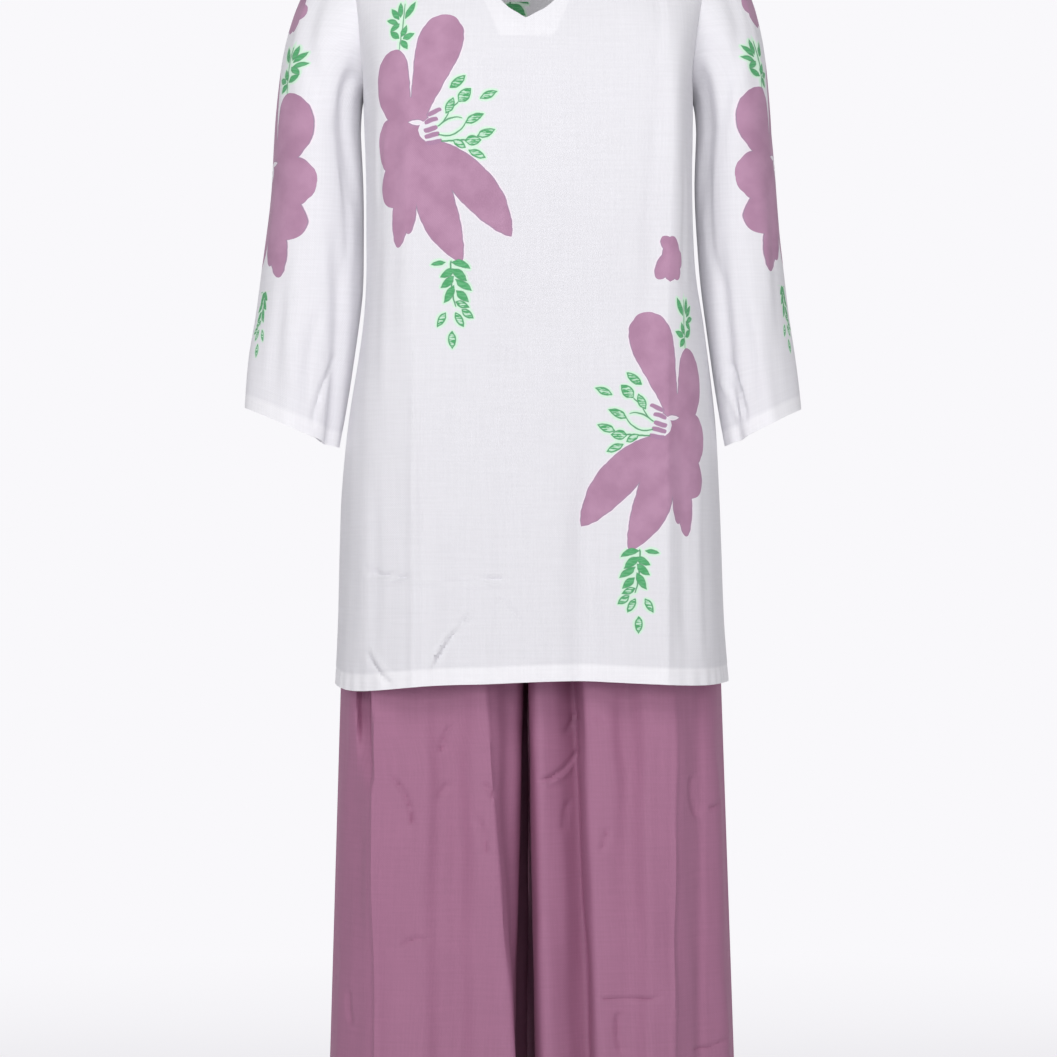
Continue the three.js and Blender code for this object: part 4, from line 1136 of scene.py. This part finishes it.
DROPPED_PETAL = table(
    BLADE,
    ("lobe", 3, 142, 44, 21, 94, 0),
    ("lobe", 5, 152, 11, 16, 40, 0),
    ("lobe", 2, 160, 17, 20, 160, 0),
    ("lobe", 4, 172, 32, 16, 250, 0),
    ("lobe", 4, 170, 30, 16, 292, 0),
    ("lobe", 1, 168, 20, 13, 62, 0),
)

# Inks of the block print on the cloth. Both bleed a little into it, and dry greyer along their edges.
PETAL_INK = "#B78CA8"
PETAL_INK_DEEP = "#AB809C"
PETAL_RIM = "#97849A"
PETAL_BLEED = "#F3E4EE"
ANTHER_INK = "#A981A0"
LEAF_INK = "#4CA367"
LEAF_INK_PALE = "#63B27B"
LEAF_CORE = "#C3E4CC"
LEAF_RIM = "#5F9272"
LEAF_BLEED = "#CDEFD4"

# In mm: how far the edges wander, half the softness of an edge, and the rims' and the bleeds' reach
PRINT_WOBBLE = 0.9
EDGE = 0.45
RIM_FROM = 0.3
PETAL_RIM_TO = 1.3
LEAF_RIM_TO = 1.0
PETAL_BLEED_REACH = (-1.8, -0.4)
LEAF_BLEED_REACH = (-3.6, -0.6)
BUD_CORE_FROM, BUD_CORE_TO = 1.1, 1.9

# Noise scales a mm: the edges' wander, the petals' patches, and the hatching from the block's carving
WOBBLE_SCALE = 0.11
PATCH_SCALE = 0.035
HATCH_SCALE = (0.12, 0.75, 1)
HATCH_TURN = 35

# Where a noise turns from one side to the other
PATCH_FROM, PATCH_TO = 0.38, 0.62
HATCH_FROM, HATCH_TO = 0.42, 0.60
STREAK_FROM, STREAK_TO = 0.36, 0.64


def drawn(tree, at, shapes):
    """How far inside the nearest of several blades a place is, in mm. Outside it is below 0."""
    most = None
    for shape in shapes:
        half = shape["width"] / 2
        share = add(tree, "Mapping", {
            "Vector": at,
            "Location": (shape["x"], shape["y"], 0),
            "Rotation": (0, 0, math.radians(shape["turn"])),
            "Scale": (shape["length"], half, 1),
        }, vector_type="TEXTURE")
        facts = {"At": share, "Bow": -4 * shape["bow"] / half, "Half": half}
        inside = add(tree, "Group", facts, node_tree=blades[shape["outline"]])
        if most is not None:
            inside = add(tree, "Math", {0: most, 1: inside}, operation="MAXIMUM")
        most = inside
    return most


def flower_print():
    """The flower in its own mm, over the colour of the cloth: petals, then anthers, buds and leaves."""
    tree = new_group("flower print", {"At": "Vector", "Cloth": "Color"}, {"Color": "Color"})
    start = add(tree, "NodeGroupInput")
    wobble = add(tree, "TexNoise", {"Vector": start, "Scale": WOBBLE_SCALE, "Detail": 1.0}, out="Color")
    wobble = add(tree, "VectorMath", {0: wobble, 1: (0.5, 0.5, 0.5)}, operation="SUBTRACT")
    wander = (PRINT_WOBBLE * 2,) * 3
    at = add(tree, "VectorMath", {0: wobble, 1: wander, 2: start}, operation="MULTIPLY_ADD")
    outside_cup = add(tree, "Math", {0: drawn(tree, at, CUP), 1: -1.0}, operation="MULTIPLY")
    petals = drawn(tree, at, PETALS)
    petals = add(tree, "Math", {0: petals, 1: outside_cup}, operation="MINIMUM")
    dropped = drawn(tree, at, DROPPED_PETAL)
    petals = add(tree, "Math", {0: petals, 1: dropped}, operation="MAXIMUM")
    anthers = drawn(tree, at, ANTHERS)
    buds = drawn(tree, at, BUDS)
    leaves = drawn(tree, at, LEAVES)
    green = add(tree, "Math", {0: buds, 1: leaves}, operation="MAXIMUM")

    blotch = add(tree, "TexNoise", {"Vector": start, "Scale": PATCH_SCALE, "Detail": 3.0})
    patches = add(tree, "MapRange", {0: blotch, 1: PATCH_FROM, 2: PATCH_TO})
    petal_ink = {0: patches, 6: linear(PETAL_INK), 7: linear(PETAL_INK_DEEP)}
    petal_ink = add(tree, "Mix", petal_ink, **COLOURS)

    # Hatching in the buds, and the same mottling in the leaves
    turned = {"Vector": at, "Rotation": (0, 0, math.radians(HATCH_TURN)), "Scale": HATCH_SCALE}
    turned = add(tree, "Mapping", turned)
    hatch = add(tree, "TexNoise", {"Vector": turned, "Scale": 1.0, "Detail": 2.0})
    hatch = add(tree, "MapRange", {0: hatch, 1: HATCH_FROM, 2: HATCH_TO}, **SOFTLY)
    core = add(tree, "MapRange", {0: buds, 1: BUD_CORE_FROM, 2: BUD_CORE_TO}, **SOFTLY)
    core = add(tree, "Math", {0: core, 1: hatch}, operation="MULTIPLY")
    leaf_ink = {0: hatch, 6: linear(LEAF_INK), 7: linear(LEAF_INK_PALE)}
    leaf_ink = add(tree, "Mix", leaf_ink, **COLOURS)
    leaf_ink = add(tree, "Mix", {0: core, 6: leaf_ink, 7: linear(LEAF_CORE)}, **COLOURS)

    rimmed = []
    for inside, rim, ink, reach in (
        (petals, PETAL_RIM, petal_ink, PETAL_RIM_TO),
        (green, LEAF_RIM, leaf_ink, LEAF_RIM_TO),
    ):
        off_rim = add(tree, "MapRange", {0: inside, 1: RIM_FROM, 2: reach}, **SOFTLY)
        rimmed.append(add(tree, "Mix", {0: off_rim, 6: linear(rim), 7: ink}, **COLOURS))

    colour = start.node.outputs["Cloth"]
    for inside, (low, high), ink in (
        (green, LEAF_BLEED_REACH, linear(LEAF_BLEED)),
        (petals, PETAL_BLEED_REACH, linear(PETAL_BLEED)),
        (petals, (-EDGE, EDGE), rimmed[0]),
        (anthers, (-EDGE, EDGE), linear(ANTHER_INK)),
        (green, (-EDGE, EDGE), rimmed[1]),
    ):
        share = add(tree, "MapRange", {0: inside, 1: low, 2: high}, **SOFTLY)
        colour = add(tree, "Mix", {0: share, 6: colour, 7: ink}, **COLOURS)
    add(tree, "NodeGroupOutput", {"Color": colour})
    return tree


flower = flower_print()

# Middle and half width of the box round the flower, in its own mm. Only cloth in such a box is printed.
FLOWER_MIDDLE = 18
FLOWER_HALF = 80

# Where the flowers' hearts lie on the flat cloth, between which of the flower's own levels each is
# printed, and its size across (wide) and up (tall). wide is below 0 for a flower that points left.
FRONT_FLOWERS = table(
    FLOWER_PLACE,
    (-112, -238, 1, 1, -218, 190),
    (137, -523, -0.98, 0.955, -218, 190),
)
BACK_FLOWERS = table(
    FLOWER_PLACE,
    (-104, -330, 1, 1, -218, 190),
    (118, -600, -0.97, 0.97, -218, 190),
    (-54, 50, 1, 1, -218, -137),
)
LEFT_SLEEVE_FLOWERS = table(
    FLOWER_PLACE,
    (16, -268, -1.4, 0.95, -138, 190),
    (42, -262, -0.6, 0.95, -218, -138),
)
RIGHT_SLEEVE_FLOWERS = table(
    FLOWER_PLACE,
    (18, -262, -1.35, 0.95, -138, 190),
    (40, -256, -0.6, 0.95, -218, -138),
)

VISCOSE_IOR = 1.53
SHEEN_ROUGHNESS = 0.5
# Yarns lie about 0.35 mm apart in both cloths. They are drawn 1.1 mm apart, so that the weave shows.
YARN_DRAWN = 1.1
# Height of the weave in metres, and how much of it comes from the crossing of the yarns alone
CLOTH_RELIEF = 0.00022
CROSSING_SHARE = 0.16
# Noise scales a mm along warp and weft: yarns are uneven over 2 mm across and over 50 mm lengthwise
WARP_SLUBS = (0.55, 0.018, 1)
WEFT_SLUBS = (0.02, 0.42, 1)


def plain_weave(tree, cut, slub):
    """Height of a plain weave with uneven yarns, from 0 to 1, and the yarns' unevenness alone."""
    spread = add(tree, "VectorMath", {0: cut, 1: (math.pi / YARN_DRAWN,) * 3}, operation="MULTIPLY")
    waves = add(tree, "VectorMath", {0: spread}, operation="SINE")
    warp = add(tree, "SeparateXYZ", {0: waves})
    crossing = add(tree, "Math", {0: warp, 1: warp.node.outputs["Y"]}, operation="MULTIPLY")
    height = add(tree, "Math", {0: crossing, 1: CROSSING_SHARE}, operation="MULTIPLY")
    yarns = []
    for scale in (WARP_SLUBS, WEFT_SLUBS):
        drawn_out = add(tree, "Mapping", {"Vector": cut, "Scale": scale})
        noise = {"Vector": drawn_out, "Scale": 1.0, "Detail": 3.0, "Roughness": 0.6}
        yarns.append(add(tree, "TexNoise", noise))
    uneven = add(tree, "Math", {0: yarns[0], 1: yarns[1]}, operation="ADD")
    uneven = add(tree, "Math", {0: uneven, 1: 0.5}, operation="MULTIPLY")
    return add(tree, "Math", {0: uneven, 1: slub, 2: height}, operation="MULTIPLY_ADD"), uneven


def flower_boxes(tree, cut, flowers):
    """Each place in the flower's own mm, in whichever flower's box it lies, and 1 inside any box."""
    at, printed = None, None
    for place in flowers:
        wide, tall = place["wide"], place["tall"]
        size = (1 / wide, 1 / tall, 1)
        shift = (-place["x"] / wide, -place["z"] / tall, 0)
        local = add(tree, "VectorMath", {0: cut, 1: size, 2: shift}, operation="MULTIPLY_ADD")
        middle = (FLOWER_MIDDLE, (place["low"] + place["high"]) / 2, 0)
        half = (FLOWER_HALF, (place["high"] - place["low"]) / 2, 1)
        off = add(tree, "VectorMath", {0: local, 1: middle}, operation="SUBTRACT")
        off = add(tree, "VectorMath", {0: off}, operation="ABSOLUTE")
        within = add(tree, "VectorMath", {0: half, 1: off}, operation="SUBTRACT")
        within = add(tree, "SeparateXYZ", {0: within})
        least = add(tree, "Math", {0: within, 1: within.node.outputs["Y"]}, operation="MINIMUM")
        here = add(tree, "Math", {0: least, 1: 0.0}, operation="GREATER_THAN")
        if at is None:
            at, printed = local, here
        else:
            at = add(tree, "Mix", {0: here, 4: at, 5: local}, out=1, data_type="VECTOR")
            printed = add(tree, "Math", {0: printed, 1: here}, operation="MAXIMUM")
    return at, printed


def woven_viscose(name, single, doubled, roughness, sheen, slub, streaks, flowers=()):
    """Plain-woven viscose: matt with a thin sheen from its fibre ends, uneven yarns, denser where it is
    doubled, and printed in the flowers' boxes."""
    made = bpy.data.materials.new(name)
    made.use_nodes = True
    tree = made.node_tree
    tree.nodes.clear()
    cut = add(tree, "Attribute", out="Vector", attribute_name="cut")
    layers = add(tree, "Attribute", out="Fac", attribute_name="doubled")
    height, uneven = plain_weave(tree, cut, slub)
    bump = add(tree, "Bump", {"Height": height, "Distance": CLOTH_RELIEF, "Strength": 1.0})
    body = add(tree, "Mix", {0: layers, 6: linear(single), 7: linear(doubled)}, **COLOURS)
    tone = {0: uneven, 1: STREAK_FROM, 2: STREAK_TO, 3: 1 - streaks, 4: 1 + streaks / 2}
    tone = add(tree, "MapRange", tone)
    tone = add(tree, "CombineXYZ", {0: tone, 1: tone, 2: tone})
    body = add(tree, "VectorMath", {0: body, 1: tone}, operation="MULTIPLY")
    finish = {
        "Base Color": body,
        "Normal": bump,
        "Roughness": roughness,
        "IOR": VISCOSE_IOR,
        "Sheen Weight": sheen,
        "Sheen Roughness": SHEEN_ROUGHNESS,
        "Sheen Tint": linear(single),
    }
    shader = add(tree, "BsdfPrincipled", finish)
    if flowers:
        at, printed = flower_boxes(tree, cut, flowers)
        inked = add(tree, "Group", {"At": at, "Cloth": body}, node_tree=flower)
        inked = add(tree, "BsdfPrincipled", {**finish, "Base Color": inked})
        shader = add(tree, "MixShader", {0: printed, 1: shader, 2: inked})
    add(tree, "OutputMaterial", {"Surface": shader})
    return made


def kurta_viscose(name, single, flowers=()):
    """White viscose, woven plain from slubby yarn and block printed: matt, soft, a little see-through
    where it is single, with uneven yarns that show as faint upright streaks."""
    return woven_viscose(
        name, single, "#F1F0F3", roughness=0.82, sheen=0.10, slub=0.55, streaks=0.035, flowers=flowers
    )


def trouser_viscose(name):
    """Mauve piece-dyed viscose, woven plain from evener yarns: it looks soft, with a faint bloom of
    sheen, and deepens in its folds."""
    return woven_viscose(
        name, "#A56E8C", "#AB7693", roughness=0.72, sheen=0.18, slub=0.40, streaks=0.06
    )


# The same white viscose takes a different white on each piece: lighter on the back and the sleeves than
# on the front, and a little darker on the right sleeve than on the left. These differences are painted
# light and shade, standing in for how the light falls on each piece.
front_cloth = kurta_viscose("white viscose printed front", "#E3E2E6", FRONT_FLOWERS)
back_cloth = kurta_viscose("white viscose printed back", "#E9E8EC", BACK_FLOWERS)
left_sleeve_cloth = kurta_viscose("white viscose printed left sleeve", "#E8E7EB", LEFT_SLEEVE_FLOWERS)
right_sleeve_cloth = kurta_viscose(
    "white viscose printed right sleeve", "#E6E5E9", RIGHT_SLEEVE_FLOWERS
)
facing_cloth = kurta_viscose("white viscose facing", "#E9E8EC")
mauve_cloth = trouser_viscose("mauve dyed viscose")

# Spacing of the points in mm
FINE = 3.0
LEG_FINE = 2.8
MIDDLING = 4.0

front, front_outer, front_inner = body_piece("kurta_front_cloth", True, FINE)
back, _, _ = body_piece("kurta_back_cloth", False, MIDDLING)
facing = facing_piece("kurta_neck_facing_cloth", front_outer, front_inner, FINE)
left_sleeve = sleeve_piece("kurta_sleeve_left_cloth", -1, MIDDLING)
right_sleeve = sleeve_piece("kurta_sleeve_right_cloth", 1, MIDDLING)
legs = [
    leg_piece(name, sections, side, is_front, creases, LEG_FINE if is_front else MIDDLING)
    for name, sections, side, is_front, creases in (
        ("trousers_front_left_cloth", LEFT_LEG_FRONT, -1, True, FRONT_LEG_CREASES_LEFT),
        ("trousers_front_right_cloth", RIGHT_LEG_FRONT, 1, True, FRONT_LEG_CREASES_RIGHT),
        ("trousers_back_left_cloth", LEFT_LEG_BACK, -1, False, BACK_LEG_CREASES),
        ("trousers_back_right_cloth", RIGHT_LEG_BACK, 1, False, BACK_LEG_CREASES),
    )
]
waistband = waistband_piece("trousers_waistband_cloth")

# Each piece's finish, and its place in the frame: it stands for the node of its name without "_cloth"
for piece, finish, slot in (
    (front, front_cloth, "kurta_cloth"),
    (back, back_cloth, "kurta_cloth"),
    (facing, facing_cloth, "facing_cloth"),
    (left_sleeve, left_sleeve_cloth, "kurta_cloth"),
    (right_sleeve, right_sleeve_cloth, "kurta_cloth"),
    *((leg, mauve_cloth, "trouser_cloth") for leg in legs),
    (waistband, mauve_cloth, "trouser_cloth"),
):
    piece.data.materials.append(finish)
    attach(piece, "root")
    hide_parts(piece.name.removesuffix("_cloth"))

# The studio, in metres. The floor lies a little under the hems, where a wearer's feet would stand.
FLOOR_LEVEL = -1.50
FLOOR_HALF = 14
FLOOR_FADE_FROM = 0.5
FLOOR_FADE_TO = 4.0
STUDIO_WHITE = "#F9F8FB"
FLOOR_WHITE = "#E2E0E5"
ROOM_WHITE = "#F4F4F8"
ROOM_LIGHT = 0.30
SOFT_BOXES = table(
    "x y z wide high watts aim",
    (-1.5, -3.6, 0.4, 1.5, 1.8, 27, -0.7),
    (1.5, -3.7, 0.2, 1.5, 1.8, 15, -0.7),
    (-0.1, -3.9, 0.5, 1.2, 1.2, 18, -0.5),
    (-0.1, -2.5, 1.8, 2.0, 1.2, 34, -0.3),
    (0.0, 3.0, 0.4, 3.2, 2.6, 44, -0.6),
)

# The camera stands square in front, level with the middle of the part of the set that it sees
CAMERA_PLACE = (-0.0025, -3.5, -0.6285)
FIELD_DEGREES = 17.17
SENSOR = 36.0


def studio_floor():
    """A wide pale painted floor, matt, that runs off into the pale studio without an edge."""
    mesh = bpy.data.meshes.new("studio_floor")
    corners = ((-1, -1), (1, -1), (1, 1), (-1, 1))
    points = [(x * FLOOR_HALF, y * FLOOR_HALF, FLOOR_LEVEL) for x, y in corners]
    mesh.from_pydata(points, [], [(0, 1, 2, 3)])
    floor = bpy.data.objects.new("studio_floor", mesh)
    bpy.context.collection.objects.link(floor)
    made = bpy.data.materials.new("pale painted floor")
    made.use_nodes = True
    tree = made.node_tree
    tree.nodes.clear()
    place = add(tree, "TexCoord", out="Object")
    away = add(tree, "VectorMath", {0: place}, out=1, operation="LENGTH")
    fade = add(tree, "MapRange", {0: away, 1: FLOOR_FADE_FROM, 2: FLOOR_FADE_TO}, **SOFTLY)
    paint = add(tree, "BsdfDiffuse", {"Color": linear(FLOOR_WHITE)})
    haze = add(tree, "Emission", {"Color": linear(STUDIO_WHITE), "Strength": 1.0})
    both = add(tree, "MixShader", {0: fade, 1: paint, 2: haze})
    add(tree, "OutputMaterial", {"Surface": both})
    mesh.materials.append(made)


def studio_light():
    """Soft light: a pale room all round, and large soft boxes in front, overhead and behind."""
    world = bpy.data.worlds.new("pale studio")
    bpy.context.scene.world = world
    world.use_nodes = True
    tree = world.node_tree
    tree.nodes.clear()
    seen = add(tree, "Background", {"Color": linear(STUDIO_WHITE), "Strength": 1.0})
    given = add(tree, "Background", {"Color": linear(ROOM_WHITE), "Strength": ROOM_LIGHT})
    ray = add(tree, "LightPath", out="Is Camera Ray")
    either = add(tree, "MixShader", {0: ray, 1: given, 2: seen})
    add(tree, "OutputWorld", {"Surface": either})
    for box in SOFT_BOXES:
        light = bpy.data.lights.new("soft_box", "AREA")
        light.shape = "RECTANGLE"
        light.size, light.size_y = box["wide"], box["high"]
        light.energy = box["watts"]
        lamp = bpy.data.objects.new("soft_box", light)
        lamp.location = (box["x"], box["y"], box["z"])
        lamp.visible_camera = False
        aim = Vector((0, 0, box["aim"])) - lamp.location
        lamp.rotation_euler = aim.to_track_quat("-Z", "Y").to_euler()
        bpy.context.collection.objects.link(lamp)


def photograph_camera():
    """The camera at the photograph's viewing angle."""
    lens = bpy.data.cameras.new("camera")
    lens.sensor_width = SENSOR
    lens.lens = SENSOR / 2 / math.tan(math.radians(FIELD_DEGREES / 2))
    camera = bpy.data.objects.new("camera", lens)
    camera.location = CAMERA_PLACE
    camera.rotation_euler = (math.radians(90), 0, 0)
    bpy.context.collection.objects.link(camera)
    bpy.context.scene.camera = camera


photograph_camera()
studio_floor()
studio_light()
bpy.context.scene.view_settings.view_transform = "Standard"
